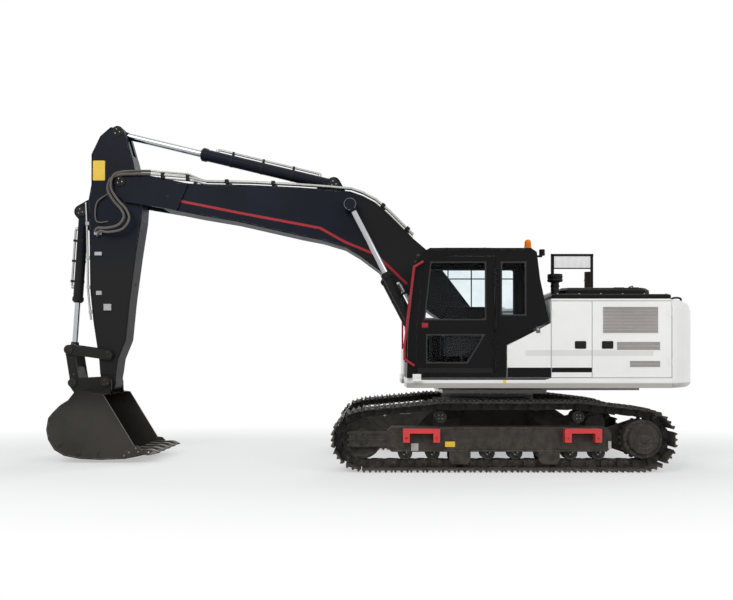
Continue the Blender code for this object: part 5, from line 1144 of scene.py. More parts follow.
def make_stacks():
    pipe, cleaner, vanes = forms(3)
    turned(pipe, here(*EXHAUST_PLACE), UP,
           ((0.0, 0.100), (0.008, 0.100), (0.010, 0.074), (0.060, 0.074), (0.075, 0.056),
            (0.095, 0.056), (0.097, 0.060), (0.120, 0.060), (0.122, 0.053), (0.40, 0.053),
            (0.402, 0.058), (0.425, 0.058), (0.427, 0.053), (0.549, 0.053), (0.549, 0.045),
            (0.40, 0.044)), 32)
    piece("exhaust_skin", pipe, cast_steel, "upper", 0.0)
    foot = here(*CLEANER_PLACE)
    turned(cleaner, foot, UP,
           ((0.0, 0.085), (0.008, 0.085), (0.010, 0.056), (0.12, 0.053), (0.122, 0.060),
            (0.140, 0.060), (0.142, 0.053), (0.175, 0.054), (0.190, 0.070), (0.196, 0.098),
            (0.204, 0.104), (0.214, 0.104), (0.220, 0.098), (0.222, 0.080), (0.250, 0.080),
            (0.251, 0.102), (0.262, 0.104), (0.276, 0.092), (0.288, 0.050), (0.289, 0.0)), 40)
    for i in range(CLEANER_VANES):
        angle = 2 * math.pi * i / CLEANER_VANES
        spoke = Vector((math.cos(angle), math.sin(angle), 0))
        turned(vanes, foot + Vector((0, 0, 0.221)) + spoke * 0.094, UP,
               ((0, 0.004), (0.031, 0.004)), 6)
    piece("air_cleaner", cleaner, black_plastic, "upper", 0.0)
    piece("cleaner_vanes", vanes, black_plastic, "upper", 0.0)


def make_handrail():
    frame_bars, cloth, feet = forms(3)
    y, low, high = RAIL_Y, RAIL_LOW, RAIL_HIGH
    for x, wide in RAIL_POSTS:
        cross(frame_bars, x - wide, x + wide, y - 0.017, y + 0.0145, low + 0.006, high + 0.012)
        cross(feet, x - 0.055, x + 0.055, y - 0.045, y + 0.045, low, low + 0.008)
        for dx in (-0.038, 0.038):
            bolt_ring(feet, here(x + dx, y, low + 0.008), UP, 0.028, 2, 0.008, 0.007)
    cross(frame_bars, 1.166, 1.844, y - 0.017, y + 0.0145, high - 0.022, high + 0.0145)
    for z in (2.36, 2.905):
        tube(frame_bars, [here(1.19, y, z), here(1.82, y, z)], 0.011, 10)
    for i in range(31):
        x = 1.22 + i * 0.019
        cross(cloth, x - 0.0018, x + 0.0018, y - 0.002, y + 0.002, 2.908, high - 0.022)
    for i in range(11):
        z = 2.915 + i * 0.0175
        cross(cloth, 1.21, 1.80, y + 0.002, y + 0.006, z - 0.0018, z + 0.0018)
    piece("handrail_bars", frame_bars, cab_paint, "upper", 0.003)
    piece("handrail_mesh", cloth, light_grey, "upper", 0.0)
    piece("handrail_feet", feet, cab_paint, "upper", 0.0)


make_covers()
make_stacks()
make_handrail()
print("handrail to Z", RAIL_HIGH)

# %% [markdown]
# ## Tanks, counterweight and right side
#
# The right side carries the tool box, the fuel tank and the hydraulic tank, with their
# lids, caps and hand hold. The counterweight is one heavy casting. It needs lifting eyes
# on top, a shallow panel cast into its back, tail lamps and a small camera.

# %% Tank caps and tail
TAIL_FRONT, TAIL_RADIUS, TAIL_HALF, TAIL_BOW = 2.205, 2.85, 1.37, 0.75
TAIL_STEPS = 12
CAPS = ((-0.30, 0.80, 2.05), (0.38, 0.95, 2.24))
CAP_RIBS = 12
LIDS = ((-1.17, -0.65, 0.545, 1.315, 1.617, 1.630), (-0.55, 0.07, 0.95, 1.31, 2.047, 2.056),
        (-1.05, -0.99, 1.312, 1.326, 1.575, 1.628), (-0.83, -0.77, 1.312, 1.326, 1.575, 1.628))
SIDE_PANELS = ((-0.52, 0.04, 1.358, 1.366, 1.34, 1.92), (0.19, 0.57, 1.358, 1.366, 1.34, 2.10))
GAUGE = (-0.03, 0.0, 1.365, 1.374, 1.45, 1.80)
PANEL_HALF, PANEL_LOW, PANEL_HIGH, PANEL_BAR = 0.48, 1.40, 1.945, 0.02


def make_caps():
    lids, caps, rubbers = forms(3)
    panels, gauge = forms(2)
    for x, y, z in CAPS:
        turned(caps, here(x, y, z - 0.001), UP,
               ((0, 0.075), (0.010, 0.075), (0.012, 0.058), (0.030, 0.058), (0.036, 0.050),
                (0.036, 0.0)), 36)
        for i in range(CAP_RIBS):
            angle = 2 * math.pi * i / CAP_RIBS
            turned(caps, here(x + 0.058 * math.cos(angle), y + 0.058 * math.sin(angle),
                              z + 0.012), UP, ((0, 0.005), (0.016, 0.005)), 6)
    for shape, blocks in ((lids, LIDS), (panels, SIDE_PANELS), (gauge, (GAUGE,))):
        for block in blocks:
            cross(shape, *block)
    for i in range(8):
        for j in range(3):
            turned(rubbers, here(-1.10 + i * 0.055, 0.70 + j * 0.20, 1.629), UP,
                   ((0, 0.017), (0.005, 0.013), (0.005, 0.009), (0.001, 0.008)), 10)
    piece("tank_lids", lids, body_paint, "upper", 0.004)
    piece("tank_panels", panels, body_paint, "upper", 0.004)
    piece("tank_caps", caps, black_plastic, "upper", 0.0)
    piece("tool_box_grips", rubbers, rubber, "upper", 0.0)
    piece("fuel_gauge", gauge, clear_lens, "upper", 0.002)


def tail_x(y):
    """How far back the bowed tail reaches at this place across the machine."""
    bow = (1 - (y / TAIL_HALF) ** 2) ** TAIL_BOW
    return TAIL_FRONT + (TAIL_RADIUS - TAIL_FRONT) * bow


def tail_sheet(shape, y0, y1, z0, z1, proud, sink=0.010):
    """A sheet that lies on the bowed tail."""
    rings = []
    for i in range(TAIL_STEPS + 1):
        y = y0 + (y1 - y0) * i / TAIL_STEPS
        x = tail_x(y)
        rings.append([here(x - sink, y, z0), here(x + proud, y, z0),
                      here(x + proud, y, z1), here(x - sink, y, z1)])
    skin(shape, rings)


def make_tail():
    eyes, lamps, panel, frames = forms(4)
    for y in (-0.75, 0.75):
        bow = [here(x, y, z) for x, z in ((2.44, 2.22), (2.44, 2.285), (2.50, 2.300),
                                          (2.56, 2.285), (2.56, 2.22))]
        tube(eyes, curve_through(bow, 6), 0.014, 12)
        turned(eyes, here(2.50, y * 0.45, 2.236), UP,
               ((0, 0.055), (0.006, 0.055), (0.008, 0.05), (0.008, 0.0)), 28)
    for side in (-1, 1):
        tail_sheet(frames, side * 0.33, side * 0.48, 1.20, 1.31, 0.005)
        tail_sheet(lamps, side * 0.343, side * 0.467, 1.213, 1.297, 0.008)
        turned(panel, here(tail_x(0.14) - 0.004, side * 0.14, 1.26), (1, 0, 0),
               ((0, 0.045), (0.012, 0.045), (0.012, 0.030), (0.004, 0.028), (0.004, 0)), 28)
    for z in (PANEL_HIGH - PANEL_BAR, PANEL_LOW):
        tail_sheet(panel, -PANEL_HALF, PANEL_HALF, z, z + PANEL_BAR, 0.006, 0.004)
    for y in (-PANEL_HALF, PANEL_HALF - PANEL_BAR):
        tail_sheet(panel, y, y + PANEL_BAR, PANEL_LOW + PANEL_BAR - 0.0005,
                   PANEL_HIGH - PANEL_BAR + 0.0005, 0.006, 0.004)
    cross(frames, 2.64, 2.70, -0.05, 0.05, 2.238, 2.295)
    turned(lamps, here(2.699, 0, 2.268), (1, 0, 0),
           ((0, 0.020), (0.012, 0.020), (0.014, 0.016), (0.010, 0.012), (0.010, 0)), 24)
    piece("lifting_eyes", eyes, cab_paint, "upper", 0.0)
    piece("tail_panel", panel, body_paint, "upper", 0.003)
    piece("tail_lamp_frames", frames, black_plastic, "upper", 0.003)
    piece("tail_lamps", lamps, red_lens, "upper", 0.002)


make_caps()
make_tail()

# %% [markdown]
# ## The cab outside
#
# Rubber seals hold each pane, and a red handle opens the door. The cab also carries a wiper
# on its windscreen, two work lamps under the front edge of the roof, gutters, a bolted roof
# hatch, a side rail, a lamp at the back and a ribbed amber beacon.

# %% Cab seals, handle, wiper and lamps
CAB_FRONT, CAB_FLOOR, CAB_LENGTH, CAB_HEIGHT = -1.24, 1.2103, 1.85, 1.69
CAB_OUT, CAB_IN = -1.36, -0.47
CAB_MIDDLE = (CAB_OUT + CAB_IN) / 2
UPPER_GLASS = ((0.120, 0.444), (0.165, 0.895), (0.557, 0.895), (0.557, 0.444))
LOWER_GLASS = ((0.135, 0.112), (0.135, 0.337), (0.551, 0.337), (0.427, 0.112))
QUARTER_GLASS = ((0.660, 0.479), (0.660, 0.895), (0.838, 0.895), (0.838, 0.479))
FLANK_GLASS = ((0.120, 0.400), (0.165, 0.895), (0.840, 0.895), (0.840, 0.400))
SEAL = 0.016
HANDLE = (-1.005, 1.893)
SEALS = (
    # name, body, outline, middle of the pane, way out
    ("upper_seal", "cab_door", UPPER_GLASS, -1.34, -1),
    ("lower_seal", "cab_door", LOWER_GLASS, -1.34, -1),
    ("quarter_seal", "upper", QUARTER_GLASS, -1.34, -1),
    ("flank_seal", "upper", FLANK_GLASS, -0.49, 1),
)
ROOF_Z = 2.899
HATCH_FRONT, HATCH_REAR = -0.78, -0.12


def on_cab(share, y=None):
    x, z = share[0] * CAB_LENGTH + CAB_FRONT, CAB_FLOOR + share[1] * CAB_HEIGHT
    return (x + SLEW_X, z) if y is None else here(x, y, z)


def drawn_in(outline, depth):
    """The outline moved inward by depth."""
    area = sum(a[0] * b[1] - b[0] * a[1] for a, b in zip(outline, outline[1:] + outline[:1]))
    inward, moved = math.copysign(depth, area), []
    for i, corner in enumerate(outline):
        before, after = Vector(outline[i - 1]), Vector(outline[(i + 1) % len(outline)])
        first = (Vector(corner) - before).normalized()
        second = (after - Vector(corner)).normalized()
        normal = Vector((-first.y - second.y, first.x + second.x)).normalized()
        reach = inward / max(normal.dot(Vector((-first.y, first.x))), 0.5)
        moved.append((corner[0] + normal.x * reach, corner[1] + normal.y * reach))
    return moved


def ring_of(shape, outer, inner, y0, y1):
    """A flat frame between two outlines of the same count."""
    skin(shape, [[Vector((x, y, z)) for x, z in loop]
                 for loop, y in ((outer, y0), (inner, y0), (inner, y1), (outer, y1))],
         looped=True)


def make_seals():
    for name, body, shares, y, way in SEALS:
        shape = bmesh.new()
        edge = [on_cab(share) for share in shares]
        outer = rounded(edge, 0.012)
        inner = rounded(drawn_in(edge, SEAL), 0.030)
        ring_of(shape, outer, inner, y + way * 0.005, y + way * 0.0185)
        ring_of(shape, outer, inner, y - way * 0.005, y - way * 0.013)
        piece(name, shape, rubber, body, 0.003)


def make_handle():
    shape, grip = forms(2)
    x, z = HANDLE
    plate(shape, patch(x, z, 0.052, 0.044, 0.018), CAB_OUT - 0.006, CAB_OUT + 0.001)
    piece("door_handle_cup", shape, black_plastic, "cab_door", 0.002)
    cross(grip, x - 0.040, x + 0.036, CAB_OUT - 0.016, CAB_OUT - 0.005, z - 0.026, z + 0.030)
    turned(grip, here(x + 0.012, CAB_OUT - 0.015, z - 0.002), (0, -1, 0),
           ((0, 0.013), (0.004, 0.013), (0.006, 0.009), (0.003, 0.006), (0.003, 0)), 18)
    piece("door_handle", grip, rail_paint, "cab_door", 0.003)


def make_cab_trim():
    trims, bolts = forms(2)
    skirt = [on_cab(share) for share in ((0.075, 0.040), (0.075, 0.075), (0.600, 0.075),
                                         (0.600, 0.040))]
    plate(trims, rounded(skirt, 0.01), CAB_OUT - 0.004, CAB_OUT + 0.001)
    piece("door_kick_plate", trims, black_plastic, "cab_door", 0.002)
    gutter = bmesh.new()
    for y in (CAB_OUT - 0.002, CAB_IN + 0.002):
        tube(gutter, [on_cab((0.150, 0.982), y), on_cab((0.880, 0.982), y)], 0.007, 8)
    piece("roof_gutters", gutter, cab_paint, "upper", 0.0)
    hatch = bmesh.new()
    for inset, low, high in ((0.0, 0.0, 0.026), (0.05, 0.025, 0.034)):
        cross(hatch, HATCH_FRONT + inset, HATCH_REAR - inset, CAB_MIDDLE - 0.29 + inset,
              CAB_MIDDLE + 0.29 - inset, ROOF_Z + low, ROOF_Z + high)
    piece("roof_hatch", hatch, cab_paint, "upper", 0.008)
    for x in (HATCH_FRONT + 0.08, HATCH_REAR - 0.08):
        for y in (-0.22, 0.22):
            turned(bolts, here(x, CAB_MIDDLE + y, ROOF_Z + 0.033), UP,
                   ((0, 0.014), (0.006, 0.012), (0.008, 0.0)), 12)
    piece("hatch_bolts", bolts, zinc, "upper", 0.0)
    bar = bmesh.new()
    tube(bar, curve_through([on_cab((0.615, 0.36), CAB_OUT + 0.002),
                             on_cab((0.622, 0.38), CAB_OUT - 0.030),
                             on_cab((0.628, 0.60), CAB_OUT - 0.030),
                             on_cab((0.628, 0.62), CAB_OUT + 0.002)], 5), 0.009, 10)
    piece("cab_side_rail", bar, cab_paint, "upper", 0.0)


def make_wiper():
    arm, blade, lamps, lenses = forms(4)
    low, high = Vector(on_cab((0.0095, 0.390))), Vector(on_cab((0.061, 0.850)))
    out = Vector((-(high - low).y, (high - low).x)).normalized()

    def on_screen(share, y, stand):
        spot = low.lerp(high, share) + out * stand
        return Vector((spot.x, y, spot.y))

    turned(arm, on_screen(0.0, CAB_MIDDLE + 0.30, -0.004), (out.x, 0, out.y),
           ((0, 0.030), (0.012, 0.030), (0.018, 0.020), (0.018, 0)), 20)
    tube(arm, [on_screen(0.0, CAB_MIDDLE + 0.30, 0.012),
               on_screen(0.25, CAB_MIDDLE + 0.20, 0.016),
               on_screen(0.55, CAB_MIDDLE + 0.12, 0.014)], 0.006, 8)
    tube(blade, [on_screen(0.22, CAB_MIDDLE + 0.13, 0.006),
                 on_screen(0.88, CAB_MIDDLE + 0.11, 0.006)], 0.007, 8)
    for y in (CAB_OUT + 0.13, CAB_IN - 0.13):
        place = Vector((*on_cab((0.090, 0.93)), 0)).xzy
        place.y = y
        turned(lamps, place + Vector((0.02, 0, 0)), (-1, 0, 0),
               ((0, 0.030), (0.012, 0.046), (0.050, 0.048), (0.054, 0.044), (0.048, 0.040),
                (0.048, 0)), 28)
        turned(lenses, place - Vector((0.026, 0, 0)), (-1, 0, 0),
               ((0, 0.040), (0.004, 0.036), (0.006, 0.018), (0.006, 0)), 28)
    piece("wiper_arm", arm, black_plastic, "upper", 0.0)
    piece("wiper_blade", blade, rubber, "upper", 0.0)
    piece("cab_lamps", lamps, black_plastic, "upper", 0.0)
    piece("cab_lamp_lenses", lenses, clear_lens, "upper", 0.0)
    lens = bmesh.new()
    turned(lens, here(0.615, -1.06, CAB_FLOOR + 1.67), (1, 0, 0),
           ((-0.004, 0.026), (0.003, 0.026), (0.005, 0.018), (0.005, 0.0)), 24)
    piece("rear_lamp_lens", lens, clear_lens, "upper", 0.0)


def make_beacon():
    base = bmesh.new()
    place = here(0.39, -1.06, 2.9)
    turned(base, place, UP, ((0.0005, 0.064), (0.016, 0.064), (0.024, 0.058),
                             (0.030, 0.057), (0.030, 0.0)), 32)
    piece("beacon_base", base, black_plastic, "upper", 0.0)
    ribs = bmesh.new()
    for i in range(5):
        turned(ribs, place + Vector((0, 0, 0.046 + i * 0.016)), UP,
               ((0, 0.0465 - i * 0.001), (0.002, 0.049 - i * 0.001),
                (0.004, 0.0465 - i * 0.001)), 32)
    piece("beacon_ribs", ribs, amber_lens, "upper", 0.0)


make_seals()
make_handle()
make_cab_trim()
make_wiper()
make_beacon()
print("cab from X", CAB_FRONT)

# %% [markdown]
# ## Inside the cab
#
# Through the glass one sees the seat, the armrest consoles with their joysticks, two tall
# travel levers over their pedals, a monitor and a dark lining. The seat is two padded
# cushions and a headrest. Each starts as a fine block whose points are pushed onto a
# pillow shape: sides pulled in between the corners, a crown, and sewn channels. Thin guard
# bars cross the window on the boom's side.

# %% Seat and controls
GUARD_UPRIGHTS_PX, GUARD_BARS_PX = (448.0, 471.3), (279, 312)
GUARD_STAND, GUARD_RADIUS = 0.008, 0.009
MAT_RIBS = 16
CUSHION_POWER, CUSHION_CUTS = 5.0, 13
SIDE_CHANNEL = 0.70
SEAT_LEAN = math.atan(0.12)


def cushion(half, crown, channels):
    """A pillow shape about the origin, with channels across it and one along each side."""
    shape = bmesh.new()
    bmesh.ops.create_cube(shape, size=2.0)
    bmesh.ops.subdivide_edges(shape, edges=shape.edges[:], cuts=CUSHION_CUTS,
                              use_grid_fill=True)
    for vert in shape.verts:
        u, v, w = vert.co
        size = sum(abs(part) ** CUSHION_POWER for part in (u, v, w)) ** (1 / CUSHION_POWER)
        u, v, w = u / size, v / size, w / size
        pull = 1 - 0.05 * (1 - abs(w)) * (u * u + v * v)
        top = crown * (1 - u * u) * (1 - v * v) * math.copysign(1.0, w)
        groove = sum(math.exp(-((u - c) / 0.035) ** 2) for c in channels)
        groove += 0.7 * math.exp(-((abs(v) - SIDE_CHANNEL) / 0.04) ** 2)
        vert.co = (u * half[0] * pull, v * half[1] * pull,
                   w * half[2] + (top - 0.008 * groove * (w > 0)) * abs(w))
    return shape


def make_seat():
    seat_low, seat_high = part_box("operator_seat")
    y = (seat_low.y + seat_high.y) / 2
    upright = Matrix.Rotation(-math.pi / 2 + SEAT_LEAN, 4, "Y")
    base = cushion((0.225, 0.222, 0.052), 0.008, (-0.45, 0.1, 0.62))
    base.transform(Matrix.Translation(here(-0.335, y, 1.618)))
    back = cushion((0.345, 0.222, 0.048), 0.010, (-0.6, -0.2, 0.2, 0.6))
    back.transform(Matrix.Translation(here(-0.085, y, 1.925)) @ upright)
    head = cushion((0.085, 0.125, 0.045), 0.012, ())
    head.transform(Matrix.Translation(here(-0.035, y, 2.365)) @ upright)
    for name, shape in (("seat_cushion", base), ("seat_back_cushion", back),
                        ("headrest", head)):
        piece(name, shape, seat_fabric, "upper", 0.0, 60)
    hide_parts("operator_seat")
    shape = bmesh.new()
    for dy in (-0.06, 0.06):
        tube(shape, [here(-0.050, y + dy, 2.22), here(-0.038, y + dy, 2.36)], 0.007, 8)
    piece("headrest_posts", shape, chrome_plate, "upper", 0.0)
    frame_shape = bmesh.new()
    cross(frame_shape, -0.54, -0.12, y - 0.20, y + 0.20, 1.556, 1.572)
    turned(frame_shape, here(-0.085, y - 0.226, 1.60), (0, 1, 0),
           ((0, 0.03), (0.012, 0.042), (0.440, 0.042), (0.452, 0.03)), 20)
    piece("seat_hinge", frame_shape, black_plastic, "upper", 0.003)


def make_controls():
    boots, grips, screens, panels = forms(4)
    y = CAB_MIDDLE
    for side in (-1, 1):
        foot = here(-0.68, y + side * 0.305, 1.755)
        turned(boots, foot, UP, ((0, 0.045), (0.010, 0.045), (0.014, 0.036), (0.026, 0.041),
                                 (0.032, 0.031), (0.044, 0.035), (0.050, 0.024),
                                 (0.062, 0.022)), 24)
        turned(grips, foot + Vector((0, 0, 0.060)), UP,
               ((0, 0.021), (0.010, 0.024), (0.050, 0.0215), (0.085, 0.027),
                (0.108, 0.027), (0.118, 0.018), (0.118, 0.0)), 24)
        cross(panels, -0.62, -0.20, y + side * 0.255, y + side * 0.355, 1.754, 1.762)
        for i in range(4):
            turned(grips, here(-0.55 + i * 0.05, y + side * 0.305, 1.761), UP,
                   ((0, 0.012), (0.010, 0.011), (0.012, 0.0)), 16)
        lever = here(-0.90, y + side * 0.08, 1.62)
        turned(grips, lever + Vector((0, 0, 0.18)), UP,
               ((0, 0.013), (0.01, 0.017), (0.075, 0.019), (0.085, 0.012), (0.086, 0)), 20)
        turned(boots, here(-0.90, y + side * 0.08, 1.344), UP,
               ((0, 0.035), (0.012, 0.030), (0.018, 0.034), (0.030, 0.024), (0.04, 0.014)),
               20)
        for i in range(6):
            x = -0.955 + i * 0.021
            cross(boots, x, x + 0.010, y + side * 0.04, y + side * 0.12, 1.344, 1.350)
    cross(panels, -1.02, -0.93, CAB_IN - 0.22, CAB_IN - 0.06, 1.62, 1.80)
    cross(screens, -0.945, -0.927, CAB_IN - 0.20, CAB_IN - 0.08, 1.66, 1.78)
    tube(panels, [here(-1.05, CAB_IN - 0.14, 1.30), here(-1.02, CAB_IN - 0.14, 1.50),
                  here(-0.98, CAB_IN - 0.14, 1.64)], 0.018, 12)
    piece("lever_boots", boots, rubber, "upper", 0.0)
    piece("lever_grips", grips, black_plastic, "upper", 0.0)
    piece("console_tops", panels, grey_plastic, "upper", 0.003)
    piece("monitor", screens, clear_lens, "upper", 0.002)
    lining = bmesh.new()
    cross(lining, -0.90, 0.36, CAB_OUT + 0.055, CAB_IN - 0.055, 2.815, 2.850)
    cross(lining, -0.02, 0.42, CAB_OUT + 0.060, CAB_IN - 0.060, 1.262, 2.00)
    cross(lining, -0.66, -0.02, CAB_IN - 0.075, CAB_IN - 0.046, 1.262, 2.19)
    piece("cab_lining", lining, black_plastic, "upper", 0.012)


def make_window_guard():
    """Bars over the right window, at the pixels where the photograph shows them."""
    guards = bmesh.new()
    for px in GUARD_UPRIGHTS_PX:
        spot = seen(px, SIGHT_PX[1], CAB_IN + GUARD_STAND)
        tube(guards, [Vector((spot.x, spot.y, 1.90)), Vector((spot.x, spot.y, 2.72))],
             GUARD_RADIUS, 10)
    for py in GUARD_BARS_PX:
        tube(guards, [seen(px, py, CAB_IN + GUARD_STAND) for px in (436, 519)],
             GUARD_RADIUS, 10)
    for px in (437, 518):
        x = seen(px, SIGHT_PX[1], CAB_IN - 0.004).x - SLEW_X
        for z in (1.93, 2.69):
            cross(guards, x - 0.014, x + 0.014, CAB_IN - 0.004, CAB_IN + 0.014, z - 0.014,
                  z + 0.014)
    piece("window_guard", guards, cab_paint, "upper", 0.0)


def make_floor_mat():
    mat = bmesh.new()
    for i in range(MAT_RIBS):
        x = -1.0 + i * 0.03
        cross(mat, x, x + 0.012, CAB_MIDDLE - 0.24, CAB_MIDDLE + 0.24, 1.2755, 1.279)
    piece("floor_mat_ribs", mat, rubber, "upper", 0.0)


make_seat()
make_controls()
make_window_guard()
make_floor_mat()
print("guard bars:", len(GUARD_UPRIGHTS_PX) + len(GUARD_BARS_PX))

# %% [markdown]
# ## The boom
#
# The boom is a welded box. On the real one, long fillet welds run along its corners, thick
# bosses stand round its pins, bolted clamps hold the hydraulic pipes on its back, and a thin
# red line is painted on each flank. The line is given by its pixels in the photograph and
# laid on the plate, so that it runs as it does there.

# %% Boom seams, pipes and red line
BOOM_DEG, BOOM_LENGTH, BOOM_HALF = 23.2, 5.70, 0.20
BOOM_TOP = ((0.215, 0.147), (0.263, 0.162), (0.303, 0.178), (0.343, 0.194),
            (0.385, 0.207), (0.422, 0.210), (0.454, 0.208), (0.503, 0.192),
            (0.575, 0.167), (0.694, 0.123), (0.802, 0.079))
BOOM_LOW = ((0.780, 0.001), (0.690, 0.023), (0.603, 0.039), (0.526, 0.053),
            (0.470, 0.065), (0.410, 0.072), (0.366, 0.066), (0.292, 0.048),
            (0.219, 0.027), (0.146, 0.005))
PIPE_STAND, PIPE_ACROSS = 0.05, 0.172
PIPES = ((PIPE_ACROSS, 0.252, 0.0195, ((188, 177.1), (151, 174))),
         (PIPE_ACROSS - 0.058, 0.2155, 0.0145, ((188, 174.2), (151, 171))))
FORK_CLAMPS_PX = ((188, 177.1), (163, 175.0))
FORK_MIDDLE, FORK_FACE = 0.236, 0.2345
FORK_ROOT = (0.874, 0.012)
CLAMP_SHARES = (0.285, 0.365, 0.640, 0.750)
RED_LINE_PX = ((175, 200), (240, 213), (320, 228), (345, 242), (372, 253), (384, 262),
               (407, 284))
RED_LINE_HALF = 0.018


def pin_of(joint):
    return Vector((pins[joint].x, pins[joint].z))


def along(pin, degrees, u, v):
    """A place u along a member that rises by degrees to the front, and v square to it."""
    lean = math.radians(degrees)
    return Vector((pin.x - u * math.cos(lean) + v * math.sin(lean),
                   pin.y + u * math.sin(lean) + v * math.cos(lean)))


FOOT, ARM_PIN, BUCKET_PIN = (pin_of(name) for name in ("boom_lift", "arm_crowd",
                                                       "bucket_curl"))
LIFT_FOOT, CROWD_FOOT = pin_of("boom_cylinder_swing"), pin_of("arm_cylinder_swing")
DIG_FOOT, TIPPING = pin_of("bucket_cylinder_swing"), pin_of("tipping_links_swing")
LINK_PIN = pin_of("bucket_link_swing")
LIFT_EYE = along(FOOT, BOOM_DEG + 21.4, 2.68, 0)
EAR_PIN = along(BUCKET_PIN, 0, 0.47, 0)
CROWD_EYE = along(ARM_PIN, -86.0, -0.735, 0.113)
BOOM_PINS = (
    # pin, radius of its plate, how far out the plate stands
    (FOOT, 0.060, 0.303), (LIFT_EYE, 0.060, 0.325), (ARM_PIN, 0.060, 0.252),
    (CROWD_FOOT, 0.058, 0.149),
)


def on_boom(u, v=None, stand=0.0):
    """A place by shares of the boom's length, or over its top edge where v is left out."""
    if v is None:
        for (u0, v0), (u1, v1) in zip(BOOM_TOP, BOOM_TOP[1:]):
            if u <= u1:
                break
        v = v0 + (v1 - v0) * (u - u0) / (u1 - u0)
    return along(FOOT, BOOM_DEG, u * BOOM_LENGTH, v * BOOM_LENGTH + stand)


def lifted(spots, y):
    return [Vector((spot.x, y, spot.y)) for spot in spots]


def make_boom_details():
    seams, clamps, heads, line = forms(4)
    pipes, plates = forms(2)
    for side in (-1, 1):
        y = side * (BOOM_HALF + 0.001)
        for run, stand in ((BOOM_TOP, -0.020), (BOOM_LOW, 0.020)):
            tube(seams, lifted([on_boom(u, v, stand) for u, v in run], y), 0.0055, 8)
        back = [on_boom(u, None, PIPE_STAND) for u, v in BOOM_TOP[1:]]
        for across, fork, radius, front_px in PIPES:
            run = lifted(back, side * across)
            for px, py in front_px:
                spot = seen(px, py, -fork)
                run.append(Vector((spot.x, side * fork, spot.z)))
            tube(pipes, run, radius, 16)
        for u in CLAMP_SHARES:
            spot, ahead = on_boom(u, None, 0.0), on_boom(u + 0.006, None, 0.0)
            lean = math.atan2(ahead.y - spot.y, -(ahead.x - spot.x))
            turn = Matrix.Rotation(lean, 3, "Y")
            middle = Vector((spot.x, side * (PIPE_ACROSS - 0.028), spot.y))
            up = turn @ UP
            slab(clamps, middle + up * 0.046 - Vector((0.028, 0.068, 0.028)),
                 middle + up * 0.046 + Vector((0.028, 0.068, 0.028)), turn)
            for dy in (-0.030, 0.030):
                turned(heads, middle + up * 0.073 + Vector((0, dy, 0)), up,
                       ((0, 0.010), (0.009, 0.010), (0.011, 0.008)), 6)
        for pin, radius, at in BOOM_PINS:
            place = Vector((pin.x, side * at, pin.y))
            turned(plates, place, (0, side, 0),
                   ((-0.004, radius + 0.008), (0.006, radius + 0.008), (0.010, radius),
                    (0.010, 0.020), (0.004, 0.016), (0.004, 0.0)), 32)
            bolt_ring(heads, place + Vector((0, side * 0.010, 0)), (0, side, 0),
                      radius * 0.62, 3, 0.009, 0.008)
        upper, lower = [], []
        spots = [seen(px, py, -BOOM_HALF) for px, py in RED_LINE_PX]
        for i, spot in enumerate(spots):
            way = spots[min(i + 1, len(spots) - 1)] - spots[max(i - 1, 0)]
            out = Vector((-way.z, 0, way.x)).normalized() * RED_LINE_HALF
            upper.append((spot.x - out.x, spot.z - out.z))
            lower.append((spot.x + out.x, spot.z + out.z))
        plate(line, upper + lower[::-1], side * (BOOM_HALF - 0.001),
              side * (BOOM_HALF + 0.0016))
        for px, py in FORK_CLAMPS_PX:
            spot = seen(px, py, -FORK_MIDDLE)
            middle = Vector((spot.x, side * FORK_MIDDLE, spot.z - 0.012))
            slab(clamps, middle - Vector((0.026, 0.037, 0.040)),
                 middle + Vector((0.026, 0.037, 0.040)))
        tube(seams, lifted([on_boom(0.874, 0.048), on_boom(0.840, 0.063)],
                           side * FORK_MIDDLE), 0.005, 8)
        root = on_boom(*FORK_ROOT)
        turned(plates, Vector((root.x, side * FORK_FACE, root.y)), (0, side, 0),
               ((-0.002, 0.022), (0.004, 0.022), (0.006, 0.016), (0.006, 0.0)), 18)
    piece("boom_seams", seams, boom_paint, "boom", 0.0)
    piece("boom_pipes", pipes, zinc, "boom", 0.0)
    piece("boom_clamps", clamps, black_plastic, "boom", 0.004)
    piece("boom_pin_plates", plates, cast_steel, "boom", 0.0)
    piece("boom_bolts", heads, zinc, "boom", 0.0)
    piece("boom_red_line", line, rail_paint, "boom", 0.0)


def two_tone_and_painted_shade(paint, other, axis, low, high):
    """Turns a finish to another colour along X or Z. It gives the bucket's black ears, the
    boom's changes of tone, and a painted shade along the white body's lower edge.
    """
    tree = paint.node_tree
    shader = tree.nodes["Principled BSDF"]
    source = shader.inputs["Base Color"].links[0].from_socket
    place = shader_node(tree, "TexCoord").outputs["Object"]
    part = shader_node(tree, "SeparateXYZ", place).outputs[axis]
    mixed = laid_over(tree, span(tree, part, low, high), source, other)
    tree.links.new(mixed, shader.inputs["Base Color"])


make_boom_details()
# The boom paint turns a neutral grey towards the back, from X -0.35 to 0, and lighter towards
# the bottom, from Z 3.3 to 2.7.
two_tone_and_painted_shade(boom_paint, rgb(0.0105, 0.0100, 0.0100), 0, -0.35, 0.0)
two_tone_and_painted_shade(boom_paint, rgb(0.0160, 0.0155, 0.0155), 2, 3.3, 2.7)
# Painted shade: the white body and counterweight turn grey-beige from Z 1.15 down, for the shade
# along the skirt's turned-in lower edge.
two_tone_and_painted_shade(body_paint, rgb(0.40, 0.375, 0.345), 2, 1.152, 1.138)
print("boom pin to pin", round((ARM_PIN - FOOT).length, 2), "m")
